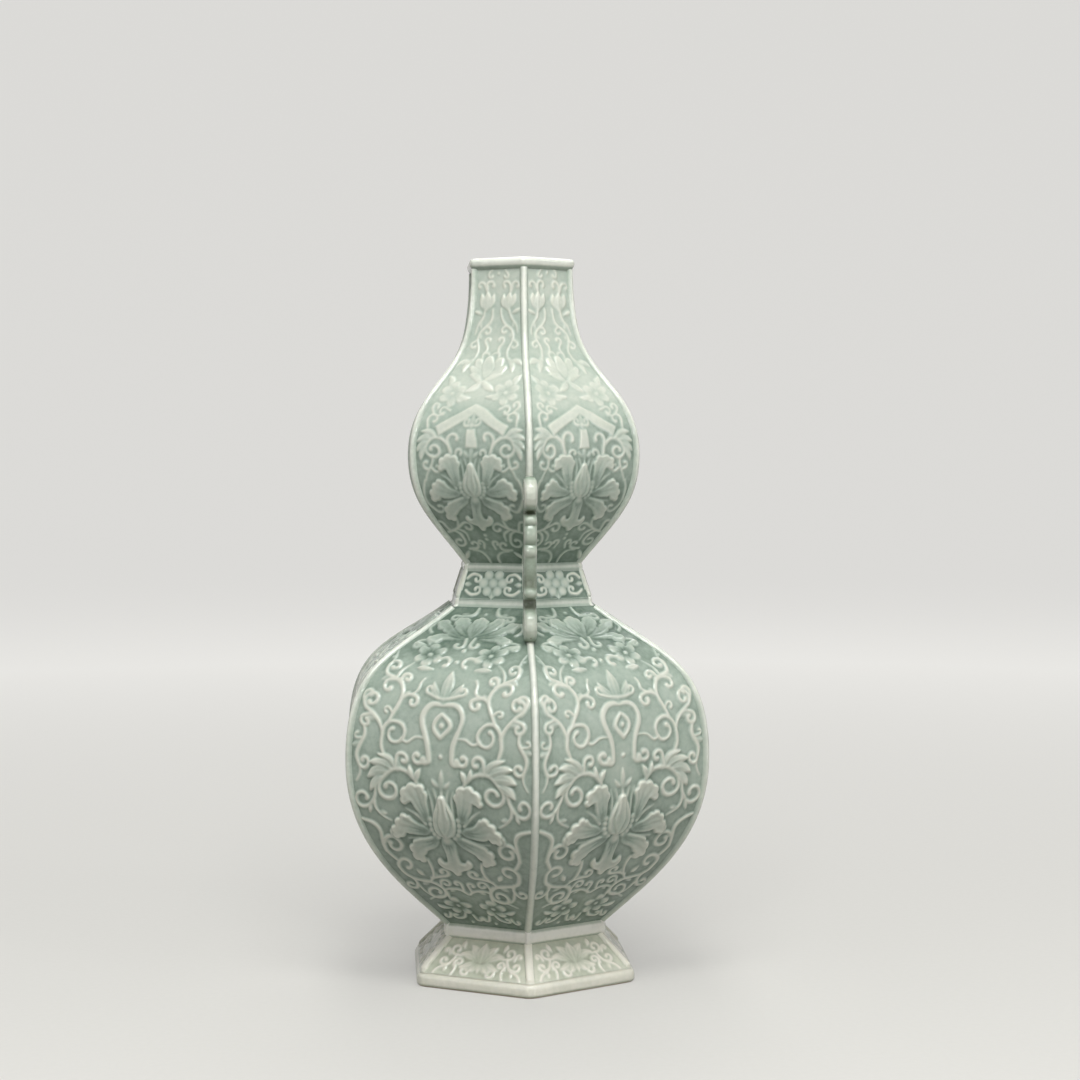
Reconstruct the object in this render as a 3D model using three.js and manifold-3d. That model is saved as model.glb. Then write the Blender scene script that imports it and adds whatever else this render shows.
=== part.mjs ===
// Hexagonal double-gourd vase of celadon porcelain, slab-built: six lower and six upper wall panels
// mitred at the corners, a bead rib on every corner, moulded courses at foot, waist and mouth,
// and a scrolled strap handle on the front and the rear corner.
// Millimetres, +Z up, origin on the table under the axis, hexagon corners towards -Y and +Y.
import * as THREE from "three";
import { mergeVertices } from "three/addons/utils/BufferGeometryUtils.js";
import Module from "manifold-3d";

const wasm = await Module();
wasm.setup();

// Radii are measured to the hexagon's corners
const WALL = 6; // thickness of the panels, square to their faces
const SEAM = 0.3; // luting gap left between neighbouring pieces
const PROFILE_STEPS = 12; // straight steps along each curve of a bulb's profile
const COURSE_STEPS = 6; // straight steps along the hollow of a moulded course
const ROUND_STEPS = 3; // straight steps round the edge of a course

// Foot: a flared ring with an upright rim, a band above it and a floor slab inside the band
const FOOT_RIM_RADIUS = 66.2;
const FOOT_RIM_HEIGHT = 7.2;
const FOOT_RIM_ROUND = 2.4;
const FOOT_RIM_STEP = 0.5; // flat top of the rim, between its round and the foot's sloping faces
const FOOT_HEIGHT = 24;
const FOOT_TOP_RADIUS = 45;
const FOOT_FLARE = 1.2; // hollow of the sloping faces, square to their chord
const FOOT_WALL = 7.5;
const FOOT_TREAD = 9; // width of the flat ring that stands on the table
const BAND_HEIGHT = 6.6;
const BAND_PROUD = 4; // beyond the top of the foot ring
const BAND_ROUND = 1.2;
const FLOOR_SEAT = 3; // how far the floor slab reaches over the foot ring

// Lower bulb
const LOWER_HEIGHT = 167; // height of the lower panels
const LOWER_BASE_STEP = 1.1; // how far the panels stand back from the band below them
const LOWER_BASE_LEAN = 47.5; // degrees from upright
const LOWER_BASE_ARM = 32; // length of the curve's handle there
const BELLY_HEIGHT = 90; // widest level, above the panel's lower edge
const BELLY_RADIUS = 106.8;
const BELLY_ARM_BELOW = 44;
const BELLY_ARM_ABOVE = 52;
const SHOULDER_STEP = 2.4; // how far the panels' upper edge stands out from the collar
const SHOULDER_LEAN = 56;
const SHOULDER_ARM = 44;

// Waist: a hollow collar between two fillets
const WAIST_FILLET_HEIGHT = 3;
const WAIST_FILLET_PROUD = 1;
const WAIST_FILLET_ROUND = 0.9;
const COLLAR_HEIGHT = 15;
const COLLAR_BASE_RADIUS = 40.4;
const COLLAR_TOP_RADIUS = 34.9;
const COLLAR_HOLLOW = 1.3; // depth of the collar's hollow, square to its chord

// Upper bulb and neck
const UPPER_HEIGHT = 154.6;
const UPPER_BASE_STEP = 0.5; // how far the panels stand back from the collar's top
const UPPER_BASE_LEAN = 41;
const UPPER_BASE_ARM = 29;
const BULB_HEIGHT = 57;
const BULB_RADIUS = 68;
const BULB_ARM_BELOW = 25.5;
const BULB_ARM_ABOVE = 38;
const NECK_RADIUS = 29.8;
const NECK_ARM = 55;

// Rolled lip
const LIP_HEIGHT = 5;
const LIP_PROUD = 2.2;
const LIP_INNER_ROUND = 1.8;

// Corner ribs
const RIB_SETBACK = 2.4; // along each face, from the corner to the rib's edge
const RIB_PROUD = 0.9; // above the corner
const RIB_ARC_STEPS = 4;

// Handles: a strap with a volute at each end and three lobes and a tip on its outer edge
const STRAP_WIDTH = 6.6;
const STRAP_BACK = 2.8; // inner face of the strap, behind the line between the volutes
const STRAP_BACK_ARM = 16; // length of the inner face's curve handles
const STRAP_EDGE_ROUND = 0.9;
const HEAD_VOLUTE_RADIUS = 8.2;
const BASE_VOLUTE_RADIUS = 8.2;
const VOLUTE_SEAT = 2.2; // how deep each volute is pressed on the corner
const VOLUTE_FRONT = 72; // degrees from outward to where a volute leaves the outer edge
const VOLUTE_BACK = 215; // degrees from outward, over the far side, to where the inner face starts
const HEAD_DROP = 18; // from the bulb's widest level down to the upper seat
const BASE_DROP = 12.4; // from the shoulder's top down to the lower seat
const NOTCH_GAP = 2.6; // from the head volute to the first lobe
const NOTCH_OUT = 1;
const LOBE_1_LENGTH = 4.6; // the three lobes, from the head down
const LOBE_1_OUT = 3.6; // where a lobe springs, from the line between the volutes
const LOBE_1_PROUD = 1.5; // crest of a lobe, beyond where it springs
const LOBE_2_LENGTH = 9.8;
const LOBE_2_OUT = 4;
const LOBE_2_PROUD = 2;
const LOBE_3_LENGTH = 6;
const LOBE_3_OUT = 4;
const LOBE_3_PROUD = 1.7;
const HOLLOW_OUT = 2.4; // the long hollow below the lobes, from the line between the volutes
const HANDLE_STEPS = 7; // straight steps along each curve of the outline
const TIP_GAP = 7.4; // from the strap's tip to the base volute
const TIP_OUT = 7;
const TIP_ROUND = 1.5;
const TIP_START_ANGLE = 60; // degrees between which the tip is rounded
const TIP_END_ANGLE = -100;
const TIP_LENGTH = 8; // the part of the hollow that turns out to the tip

// Directions in degrees at which the arcs of an outline start and end
const DOWN_ANGLE = -90;
const OUT_ANGLE = 0;
const UP_ANGLE = 90;
const IN_ANGLE = 180;

const SIDES = 6;
const HALF_FACE = Math.PI / SIDES;
const FLAT = Math.cos(HALF_FACE); // distance to a face for a corner radius of 1
const FACES = ["right", "rear_right", "rear_left", "left", "front_left", "front_right"];
const CORNERS = ["rear_right", "rear", "rear_left", "front_left", "front", "front_right"];

// Radii that follow from the pieces they sit on
const footBore = FOOT_TOP_RADIUS - FOOT_WALL;
const floorRadius = footBore + FLOOR_SEAT;
const bandBore = floorRadius + SEAM / FLAT;
const bandRadius = FOOT_TOP_RADIUS + BAND_PROUD;
const lowerBaseRadius = bandRadius - LOWER_BASE_STEP;
const shoulderRadius = COLLAR_BASE_RADIUS + SHOULDER_STEP;
const upperBaseRadius = COLLAR_TOP_RADIUS - UPPER_BASE_STEP;
const courseWall = WALL / FLAT;

// Levels of the joints, from the table up
const bandBase = FOOT_HEIGHT + SEAM;
const bandTop = bandBase + BAND_HEIGHT;
const lowerBase = bandTop + SEAM;
const lowerTop = lowerBase + LOWER_HEIGHT;
const lowerFilletBase = lowerTop + SEAM;
const collarBase = lowerFilletBase + WAIST_FILLET_HEIGHT + SEAM;
const collarTop = collarBase + COLLAR_HEIGHT;
const upperFilletBase = collarTop + SEAM;
const upperBase = upperFilletBase + WAIST_FILLET_HEIGHT + SEAM;
const upperTop = upperBase + UPPER_HEIGHT;
const lipBase = upperTop + SEAM;
const lipTop = lipBase + LIP_HEIGHT;

// A point that lies an arm's length along a leaning line from a start point
function leaning(start, lean, arm) {
  const angle = THREE.MathUtils.degToRad(lean);
  return new THREE.Vector2(start.x + arm * Math.sin(angle), start.y + arm * Math.cos(angle));
}

// Corner profile of a bulb: one curve up to its widest level and one from there to its top
function bulbProfile(base, baseControl, widest, armBelow, armAbove, topControl, top) {
  const below = new THREE.Vector2(widest.x, widest.y - armBelow);
  const above = new THREE.Vector2(widest.x, widest.y + armAbove);
  const rising = new THREE.CubicBezierCurve(base, baseControl, below, widest);
  const closing = new THREE.CubicBezierCurve(widest, above, topControl, top);
  return [...rising.getPoints(PROFILE_STEPS), ...closing.getPoints(PROFILE_STEPS).slice(1)];
}

function lowerProfile() {
  const base = new THREE.Vector2(lowerBaseRadius, lowerBase);
  const widest = new THREE.Vector2(BELLY_RADIUS, lowerBase + BELLY_HEIGHT);
  const top = new THREE.Vector2(shoulderRadius, lowerTop);
  const baseControl = leaning(base, LOWER_BASE_LEAN, LOWER_BASE_ARM);
  const topControl = leaning(top, -SHOULDER_LEAN, -SHOULDER_ARM);
  return bulbProfile(base, baseControl, widest, BELLY_ARM_BELOW, BELLY_ARM_ABOVE, topControl, top);
}

function upperProfile() {
  const base = new THREE.Vector2(upperBaseRadius, upperBase);
  const widest = new THREE.Vector2(BULB_RADIUS, upperBase + BULB_HEIGHT);
  const top = new THREE.Vector2(NECK_RADIUS, upperTop);
  const baseControl = leaning(base, UPPER_BASE_LEAN, UPPER_BASE_ARM);
  const topControl = new THREE.Vector2(NECK_RADIUS, upperTop - NECK_ARM);
  return bulbProfile(base, baseControl, widest, BULB_ARM_BELOW, BULB_ARM_ABOVE, topControl, top);
}

// Unit vectors square to a profile and away from the axis, one at each of its points
function outwardNormals(points) {
  return points.map((point, i) => {
    const before = points[Math.max(i - 1, 0)];
    const after = points[Math.min(i + 1, points.length - 1)];
    const along = new THREE.Vector2().subVectors(after, before).normalize();
    return new THREE.Vector2(along.y, -along.x);
  });
}

// A profile moved outwards, square to itself
function offsetProfile(points, distance) {
  const normals = outwardNormals(points);
  return points.map((point, i) => point.clone().addScaledVector(normals[i], distance));
}

// One closed body through convex loops of points that follow one another along it
function loft(loops) {
  const count = loops[0].length;
  const last = (loops.length - 1) * count;
  const indices = [];
  for (let start = 0; start < last; start += count) {
    for (let i = 0; i < count; i += 1) {
      const next = (i + 1) % count;
      indices.push(start + i, start + next, start + count + next);
      indices.push(start + i, start + count + next, start + count + i);
    }
  }
  for (let i = 1; i + 1 < count; i += 1) {
    indices.push(0, i + 1, i);
    indices.push(last, last + i, last + i + 1);
  }
  const geometry = new THREE.BufferGeometry();
  geometry.setFromPoints(loops.flat());
  geometry.setIndex(indices);
  return geometry;
}

// Wall panel facing +X: its sides are mitred, and its outer corners are cut flat under the ribs
function panelGeometry(profile) {
  const outer = profile.map((point) => new THREE.Vector2(point.x * FLAT, point.y));
  const inner = offsetProfile(outer, -WALL);
  const lastRow = outer.length - 1;
  inner[0].y = outer[0].y;
  inner[lastRow].y = outer[lastRow].y;
  const mitreGap = SEAM / 2 / FLAT;
  const slope = Math.tan(HALF_FACE);
  const cornerCut = RIB_SETBACK * Math.sin(HALF_FACE);
  const loops = outer.map((face, row) => {
    const back = inner[row];
    const faceHalf = face.x * slope - RIB_SETBACK;
    const cutDepth = face.x - cornerCut * FLAT;
    const cutHalf = cutDepth * slope - mitreGap;
    const backHalf = back.x * slope - mitreGap;
    return [
      new THREE.Vector3(face.x, -faceHalf, face.y),
      new THREE.Vector3(face.x, faceHalf, face.y),
      new THREE.Vector3(cutDepth, cutHalf, face.y),
      new THREE.Vector3(back.x, backHalf, back.y),
      new THREE.Vector3(back.x, -backHalf, back.y),
      new THREE.Vector3(cutDepth, -cutHalf, face.y),
    ];
  });
  return loft(loops);
}

// Bead on the corner towards +X: a flat underside and a half-oval back, along the corner's profile
// and cut level at its ends
function ribGeometry(profile, underside, proud) {
  const normals = outwardNormals(profile);
  normals[0].set(1, 0);
  normals[normals.length - 1].set(1, 0);
  const halfWidth = RIB_SETBACK * FLAT - SEAM;
  const cornerCut = RIB_SETBACK * Math.sin(HALF_FACE);
  const loops = profile.map((corner, row) => {
    const normal = normals[row];
    const seat = new THREE.Vector2(corner.x - cornerCut, corner.y).addScaledVector(normal, underside);
    const crown = corner.clone().addScaledVector(normal, proud);
    const rise = crown.sub(seat);
    const loop = [];
    for (let step = 0; step <= RIB_ARC_STEPS; step += 1) {
      const angle = (Math.PI * step) / RIB_ARC_STEPS;
      const point = seat.clone().addScaledVector(rise, Math.sin(angle));
      loop.push(new THREE.Vector3(point.x, -halfWidth * Math.cos(angle), point.y));
    }
    return loop;
  });
  return loft(loops);
}

// Hexagonal course: a closed outline of (corner radius, level), drawn upwards on its outer side
function courseGeometry(outline) {
  const geometry = new THREE.LatheGeometry([...outline, outline[0]], SIDES);
  geometry.rotateX(Math.PI / 2);
  return geometry;
}

// Points round an edge of an outline, between two angles in degrees
function arcPoints(x, y, radius, from, to) {
  const start = THREE.MathUtils.degToRad(from);
  const end = THREE.MathUtils.degToRad(to);
  const points = [];
  for (let i = 0; i <= ROUND_STEPS; i += 1) {
    const angle = start + ((end - start) * i) / ROUND_STEPS;
    points.push(new THREE.Vector2(x + radius * Math.cos(angle), y + radius * Math.sin(angle)));
  }
  return points;
}

// Course with a rounded outer edge above and below
function filletOutline(base, height, radius, bore, round) {
  const top = base + height;
  return [
    ...arcPoints(radius - round, base + round, round, DOWN_ANGLE, OUT_ANGLE),
    ...arcPoints(radius - round, top - round, round, OUT_ANGLE, UP_ANGLE),
    new THREE.Vector2(bore, top),
    new THREE.Vector2(bore, base),
  ];
}

// A hollow curve from one point up to another, sunk towards the axis by a depth at its middle
function hollowCurve(from, to, depth) {
  const along = new THREE.Vector2().subVectors(to, from).normalize();
  const inward = new THREE.Vector2(-along.y, along.x);
  const middle = from.clone().add(to).multiplyScalar(0.5).addScaledVector(inward, depth * 2);
  return new THREE.QuadraticBezierCurve(from, middle, to).getPoints(COURSE_STEPS);
}

const footFace = hollowCurve(
  new THREE.Vector2(FOOT_RIM_RADIUS - FOOT_RIM_ROUND - FOOT_RIM_STEP, FOOT_RIM_HEIGHT),
  new THREE.Vector2(FOOT_TOP_RADIUS, FOOT_HEIGHT),
  FOOT_FLARE,
);
const collarFace = hollowCurve(
  new THREE.Vector2(COLLAR_BASE_RADIUS, collarBase),
  new THREE.Vector2(COLLAR_TOP_RADIUS, collarTop),
  COLLAR_HOLLOW,
);

function footOutline() {
  const edge = FOOT_RIM_RADIUS - FOOT_RIM_ROUND;
  const treadInner = FOOT_RIM_RADIUS - FOOT_TREAD;
  return [
    ...arcPoints(edge, FOOT_RIM_ROUND, FOOT_RIM_ROUND, DOWN_ANGLE, OUT_ANGLE),
    ...arcPoints(edge, FOOT_RIM_HEIGHT - FOOT_RIM_ROUND, FOOT_RIM_ROUND, OUT_ANGLE, UP_ANGLE),
    ...footFace,
    new THREE.Vector2(footBore, FOOT_HEIGHT),
    new THREE.Vector2(treadInner - FOOT_RIM_ROUND, FOOT_RIM_HEIGHT),
    new THREE.Vector2(treadInner - FOOT_RIM_ROUND, FOOT_RIM_ROUND),
    new THREE.Vector2(treadInner, 0),
  ];
}

function collarOutline() {
  return [
    ...collarFace,
    new THREE.Vector2(COLLAR_TOP_RADIUS - courseWall, collarTop),
    new THREE.Vector2(COLLAR_BASE_RADIUS - courseWall, collarBase),
  ];
}

function lipOutline() {
  const roll = LIP_HEIGHT / 2;
  const rollCentre = NECK_RADIUS + LIP_PROUD - roll;
  const bore = NECK_RADIUS - courseWall;
  return [
    ...arcPoints(rollCentre, lipBase + roll, roll, DOWN_ANGLE, OUT_ANGLE),
    ...arcPoints(rollCentre, lipBase + roll, roll, OUT_ANGLE, UP_ANGLE).slice(1),
    ...arcPoints(bore + LIP_INNER_ROUND, lipTop - LIP_INNER_ROUND, LIP_INNER_ROUND, UP_ANGLE, IN_ANGLE),
    new THREE.Vector2(bore, lipBase),
  ];
}

// A closed geometry as a solid that can be cut or joined
function toSolid(geometry) {
  const bare = geometry.clone();
  bare.deleteAttribute("normal");
  bare.deleteAttribute("uv");
  const merged = mergeVertices(bare);
  const mesh = new wasm.Mesh({
    numProp: 3,
    vertProperties: merged.attributes.position.array,
    triVerts: new Uint32Array(merged.index.array),
  });
  return new wasm.Manifold(mesh);
}

function fromSolid(solid) {
  const mesh = solid.getMesh();
  const geometry = new THREE.BufferGeometry();
  geometry.setAttribute("position", new THREE.BufferAttribute(mesh.vertProperties, 3));
  geometry.setIndex(new THREE.BufferAttribute(mesh.triVerts, 1));
  return geometry;
}

// A course with a rib raised on each corner of its sloping face
function ribbedCourse(outline, face) {
  let solid = toSolid(courseGeometry(outline));
  const rib = ribGeometry(face, 0, RIB_PROUD);
  for (let i = 0; i < SIDES; i += 1) {
    const turned = rib.clone().rotateZ((2 * i + 1) * HALF_FACE);
    solid = solid.add(toSolid(turned));
  }
  return fromSolid(solid);
}

// The corner point and outward direction of a profile at a level
function cornerAt(profile, level) {
  const normals = outwardNormals(profile);
  const row = profile.findIndex((point) => point.y >= level);
  const share = (level - profile[row - 1].y) / (profile[row].y - profile[row - 1].y);
  const point = profile[row - 1].clone().lerp(profile[row], share);
  const normal = normals[row - 1].clone().lerp(normals[row], share).normalize();
  return { point, normal };
}

// Side outline of a handle, with the head volute's centre at the origin and the strap running down
function handleShape(span) {
  const shape = new THREE.Shape();
  const front = THREE.MathUtils.degToRad(VOLUTE_FRONT);
  const back = THREE.MathUtils.degToRad(VOLUTE_BACK);
  const tipStart = THREE.MathUtils.degToRad(TIP_START_ANGLE);
  const tipEnd = THREE.MathUtils.degToRad(TIP_END_ANGLE);
  const lobes = [
    [LOBE_1_LENGTH, LOBE_1_OUT, LOBE_1_PROUD],
    [LOBE_2_LENGTH, LOBE_2_OUT, LOBE_2_PROUD],
    [LOBE_3_LENGTH, LOBE_3_OUT, LOBE_3_PROUD],
  ];
  shape.absarc(0, 0, HEAD_VOLUTE_RADIUS, back, -front, true);
  let level = -(HEAD_VOLUTE_RADIUS + NOTCH_GAP);
  shape.quadraticCurveTo(NOTCH_OUT, level + NOTCH_GAP, NOTCH_OUT, level + NOTCH_GAP / 2);
  for (const [length, out, proud] of lobes) {
    shape.lineTo(out, level);
    shape.quadraticCurveTo(out + 2 * proud, level - length / 2, out, level - length);
    level -= length;
  }
  const baseTop = -span + BASE_VOLUTE_RADIUS;
  const tip = new THREE.Vector2(TIP_OUT - TIP_ROUND, baseTop + TIP_GAP + TIP_ROUND);
  shape.quadraticCurveTo(HOLLOW_OUT, tip.y + TIP_LENGTH, tip.x, tip.y + TIP_ROUND);
  shape.absarc(tip.x, tip.y, TIP_ROUND, tipStart, tipEnd, true);
  shape.quadraticCurveTo(NOTCH_OUT, tip.y - TIP_ROUND, NOTCH_OUT, baseTop + TIP_GAP / 2);
  shape.absarc(0, -span, BASE_VOLUTE_RADIUS, front, -back, true);
  shape.bezierCurveTo(
    -STRAP_BACK,
    -span + STRAP_BACK_ARM,
    -STRAP_BACK,
    -STRAP_BACK_ARM,
    HEAD_VOLUTE_RADIUS * Math.cos(back),
    HEAD_VOLUTE_RADIUS * Math.sin(back),
  );
  return shape;
}

// Handle on the corner towards +X, its volutes cut to sit over the corner's rib
function handleGeometry(upper, lower) {
  const headSeat = cornerAt(upper, upperBase + BULB_HEIGHT - HEAD_DROP);
  const baseSeat = cornerAt(lower, lowerTop - BASE_DROP);
  const head = headSeat.point.addScaledVector(headSeat.normal, HEAD_VOLUTE_RADIUS - VOLUTE_SEAT);
  const base = baseSeat.point.addScaledVector(baseSeat.normal, BASE_VOLUTE_RADIUS - VOLUTE_SEAT);
  const spine = new THREE.Vector2().subVectors(head, base);
  const geometry = new THREE.ExtrudeGeometry(handleShape(spine.length()), {
    depth: STRAP_WIDTH - 2 * STRAP_EDGE_ROUND,
    bevelThickness: STRAP_EDGE_ROUND,
    bevelSize: STRAP_EDGE_ROUND,
    bevelOffset: -STRAP_EDGE_ROUND,
    bevelSegments: 1,
    curveSegments: HANDLE_STEPS,
  });
  geometry.translate(0, 0, STRAP_EDGE_ROUND - STRAP_WIDTH / 2);
  geometry.rotateZ(spine.angle() - Math.PI / 2);
  geometry.translate(head.x, head.y, 0);
  geometry.rotateX(Math.PI / 2);
  const clearance = RIB_PROUD + SEAM;
  let solid = toSolid(geometry);
  for (const profile of [upper, lower]) {
    const envelope = offsetProfile(profile, clearance);
    const outline = [
      new THREE.Vector2(0, envelope[0].y),
      ...envelope,
      new THREE.Vector2(0, envelope[envelope.length - 1].y),
    ];
    const body = new THREE.LatheGeometry(outline, SIDES, Math.PI / 2);
    body.rotateX(Math.PI / 2);
    solid = solid.subtract(toSolid(body));
  }
  return fromSolid(solid);
}

const GLAZE = { color: 0xb7cdbf, roughness: 0.16, metalness: 0 };
const THIN_GLAZE = { color: 0xdfe5d8, roughness: 0.18, metalness: 0 };

function place(group, name, geometry, look, angle = 0) {
  const mesh = new THREE.Mesh(geometry, new THREE.MeshStandardMaterial(look));
  mesh.name = name;
  mesh.rotation.z = angle;
  group.add(mesh);
}

const group = new THREE.Group();
const lower = lowerProfile();
const upper = upperProfile();

// Foot and floor
place(group, "foot_ring", ribbedCourse(footOutline(), footFace), THIN_GLAZE);
const bandOutline = filletOutline(bandBase, BAND_HEIGHT, bandRadius, bandBore, BAND_ROUND);
place(group, "foot_band", courseGeometry(bandOutline), THIN_GLAZE);
const floorOutline = [
  new THREE.Vector2(0, bandBase),
  new THREE.Vector2(floorRadius, bandBase),
  new THREE.Vector2(floorRadius, bandTop),
  new THREE.Vector2(0, bandTop),
];
const floorSlab = new THREE.LatheGeometry(floorOutline, SIDES);
floorSlab.rotateX(Math.PI / 2);
place(group, "floor_slab", floorSlab, GLAZE);

// Wall panels and corner ribs
const bulbs = { lower, upper };
for (const [level, profile] of Object.entries(bulbs)) {
  const panel = panelGeometry(profile);
  const rib = ribGeometry(profile, SEAM, RIB_PROUD);
  FACES.forEach((side, i) => {
    place(group, `${level}_panel_${side}`, panel, GLAZE, 2 * i * HALF_FACE);
  });
  CORNERS.forEach((side, i) => {
    place(group, `${level}_rib_${side}`, rib, THIN_GLAZE, (2 * i + 1) * HALF_FACE);
  });
}

// Waist and lip
const waistFillets = {
  waist_fillet_lower: [lowerFilletBase, COLLAR_BASE_RADIUS],
  waist_fillet_upper: [upperFilletBase, COLLAR_TOP_RADIUS],
};
for (const [name, [base, radius]] of Object.entries(waistFillets)) {
  const outline = filletOutline(
    base,
    WAIST_FILLET_HEIGHT,
    radius + WAIST_FILLET_PROUD,
    radius - courseWall,
    WAIST_FILLET_ROUND,
  );
  place(group, name, courseGeometry(outline), THIN_GLAZE);
}
place(group, "waist_collar", ribbedCourse(collarOutline(), collarFace), GLAZE);
place(group, "lip_ring", courseGeometry(lipOutline()), THIN_GLAZE);

// Handles
const handle = handleGeometry(upper, lower);
place(group, "handle_rear", handle, THIN_GLAZE, Math.PI / 2);
place(group, "handle_front", handle, THIN_GLAZE, -Math.PI / 2);

export default group;
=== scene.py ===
# A hexagonal double-gourd vase of carved porcelain under a celadon glaze.
# Lengths are millimetres until a mesh is made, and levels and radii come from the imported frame.

import math

import bpy
import numpy as np
from mathutils import Euler, Matrix, Vector


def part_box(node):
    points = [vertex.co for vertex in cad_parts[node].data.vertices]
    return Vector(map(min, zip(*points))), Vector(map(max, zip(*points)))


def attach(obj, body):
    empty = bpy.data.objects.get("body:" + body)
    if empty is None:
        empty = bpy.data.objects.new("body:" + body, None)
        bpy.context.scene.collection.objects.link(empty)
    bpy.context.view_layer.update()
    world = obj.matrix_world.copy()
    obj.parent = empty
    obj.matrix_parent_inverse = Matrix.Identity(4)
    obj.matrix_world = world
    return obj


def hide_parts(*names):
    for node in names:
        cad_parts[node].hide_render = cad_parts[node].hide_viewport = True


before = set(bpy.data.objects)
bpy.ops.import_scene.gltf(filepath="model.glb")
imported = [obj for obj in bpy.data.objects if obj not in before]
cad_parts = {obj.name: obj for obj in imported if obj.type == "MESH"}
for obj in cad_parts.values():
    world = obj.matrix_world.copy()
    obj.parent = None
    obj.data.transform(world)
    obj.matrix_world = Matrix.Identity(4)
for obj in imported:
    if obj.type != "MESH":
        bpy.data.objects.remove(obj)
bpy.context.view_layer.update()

MM = 0.001
SIDES = ["right", "rear_right", "rear_left", "left", "front_left", "front_right"]
CORNERS = ["rear_right", "rear", "rear_left", "front_left", "front", "front_right"]
TURN = math.radians(60)
HALF_TURN = TURN / 2
HALF_FACE = math.tan(HALF_TURN)

# Walls and mouldings
WALL = 6
OVERLAP = 0.9
CORNER_SOFT = 1.6
CORNER_COLUMNS = 6
BEND_POINTS = 6
SHARP_EDGE = 50
LEVEL_NEAR = 0.6
FACING = 0.2
BAND_SOFT = 1.8
FILLET_SOFT = 1

# Beads on the bulbs' corners, and ribs on the corners of the collar and the mouldings
RIB_HALF = 2.1
RIB_PROUD = 0.9
RIB_DEPTH = 3.0
RIB_COLUMNS = 15
RIB_SPREAD = 112
RIB_ROWS_APART = 3
RIB_WAVE = 0.03
RIB_WAVE_LONG = 9
COURSE_RIB_HALF = 2.0
COURSE_RIB_PROUD = 0.7
COURSE_RIB_SEAT = 0.5
MOULDING_RIB_PROUD = 0.4

# The neck is a little slimmer under its upright part than the solids are
NECK_LEVEL = 331
NECK_REACH = 20
NECK_WAIST = 2.7

# Foot
FOOT_RIM = 7.2
FOOT_STEP = 1.3
FOOT_LEDGE = 0.2
FOOT_TREAD = 8
FOOT_WALL = 6.5
FOOT_EDGE = 0.8
RIM_UNDER = 2.4
RIM_OVER = 3.4
RIM_CORNER = 6.5
FOOT_CORNER = 3
FOOT_RIB_PROUD = 1.2
FOOT_RIB_HALF = 2.5
BARE_LEVEL = 1.1

# Lip
LIP_SOFT = 2.4
LIP_CORNER = 4
LIP_UNDERCUT = 1.9
LIP_RISE = 1.2
LIP_UNDER = 1.6

# Handles
HANDLE_VOXEL = 0.38
HANDLE_RELAX = 5
HANDLE_SOFT = 0.5
HANDLE_GLAZE = 0.3
HANDLE_CROWN = 0.8
VOLUTE = 8.2
SCROLL_CUT = 1.1
SCROLL_DEPTH = 0.2
SCROLL_RADIUS = 4.3
SCROLL_TURN = 620
SCROLL_SIDE = 0.75
SCROLL_SIDE_FADE = 0.2
HOLLOW_REACH = 5
HANDLE_EDGE = 0.72
HANDLE_EDGE_FADE = 0.25

# Carving: heights, widths and softness of the cuts
PITCH = 0.25
PATH_STEP = 0.35
WALL_STEP = 0.49
FACE_STEP = 0.42
FOOT_ROW = 0.46
HIDDEN_STEP = 4
GROUND_DEPTH = 0.35
LINE_HIGH = 0.75
LINE_WIDE = 2.2
LINE_LEAST = 0.15
LINE_CROWN = 0.25
LINE_SWELL = 0.25
PETAL_HIGH = 1.5
FOOT_PETAL_HIGH = 0.85
FOOT_LINE = 1.6
VEIN_HIGH = 0.13
RIM_REACH = 1.4
RIM_SINK = 0.5
EDGE_SOFT = 1.0
CUT_SOFT = 0.35
GROOVE_WIDE = 1.1
PANEL_EDGE = 0.8
LOWER_DEEP = 1
UPPER_DEEP = 0.5
COLLAR_DEEP = 0.8
BLUR_SPAN = 3
GRID_END = 1.001

# Carving: curls, thorns, dots, leaves, frilled petals and blossoms
CURL_OPEN = 1.25
CURL_CLOSING = 0.62
CURL_STEPS = 8
BUD_SWELL = 0.5
BUD_LONG = 1.2
THORN_EVERY = 14
THORN_LEAN = 48
THORN_LONG = 2.3
THORN_WIDE = 1.3
THORN_HIGH = 0.9
DOT_LONG = 0.01
DOT_HIGH = 0.95
DOT_CROWN = 0.5
LEAF_OUTLINE = [0.45, 0.85, 1, 0.75, 0.12]
FRILL_ROUND = 0.7
FRILL_SINK = 0.4
FRILL_FROM = 0.5
FRILL_FADE = 0.25
DISH_HIGH = 0.8
DISH_RIM = 0.3
LOTUS_LINE = 0.6
LOTUS_FRILL = 1.5
SPOKE = [0.2, 0.6, 0.85]
SPOKE_OUTLINE = [0.16, 0.38, 0.34]
BLOSSOM_EYE = 0.2

# The carver's hand: how far it strays, over what lengths, and how it waves the ground
HAND_DRIFT = 0.45
HAND_REACHES = (38, 23, 14)
HAND_WAVE = 0.1

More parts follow.
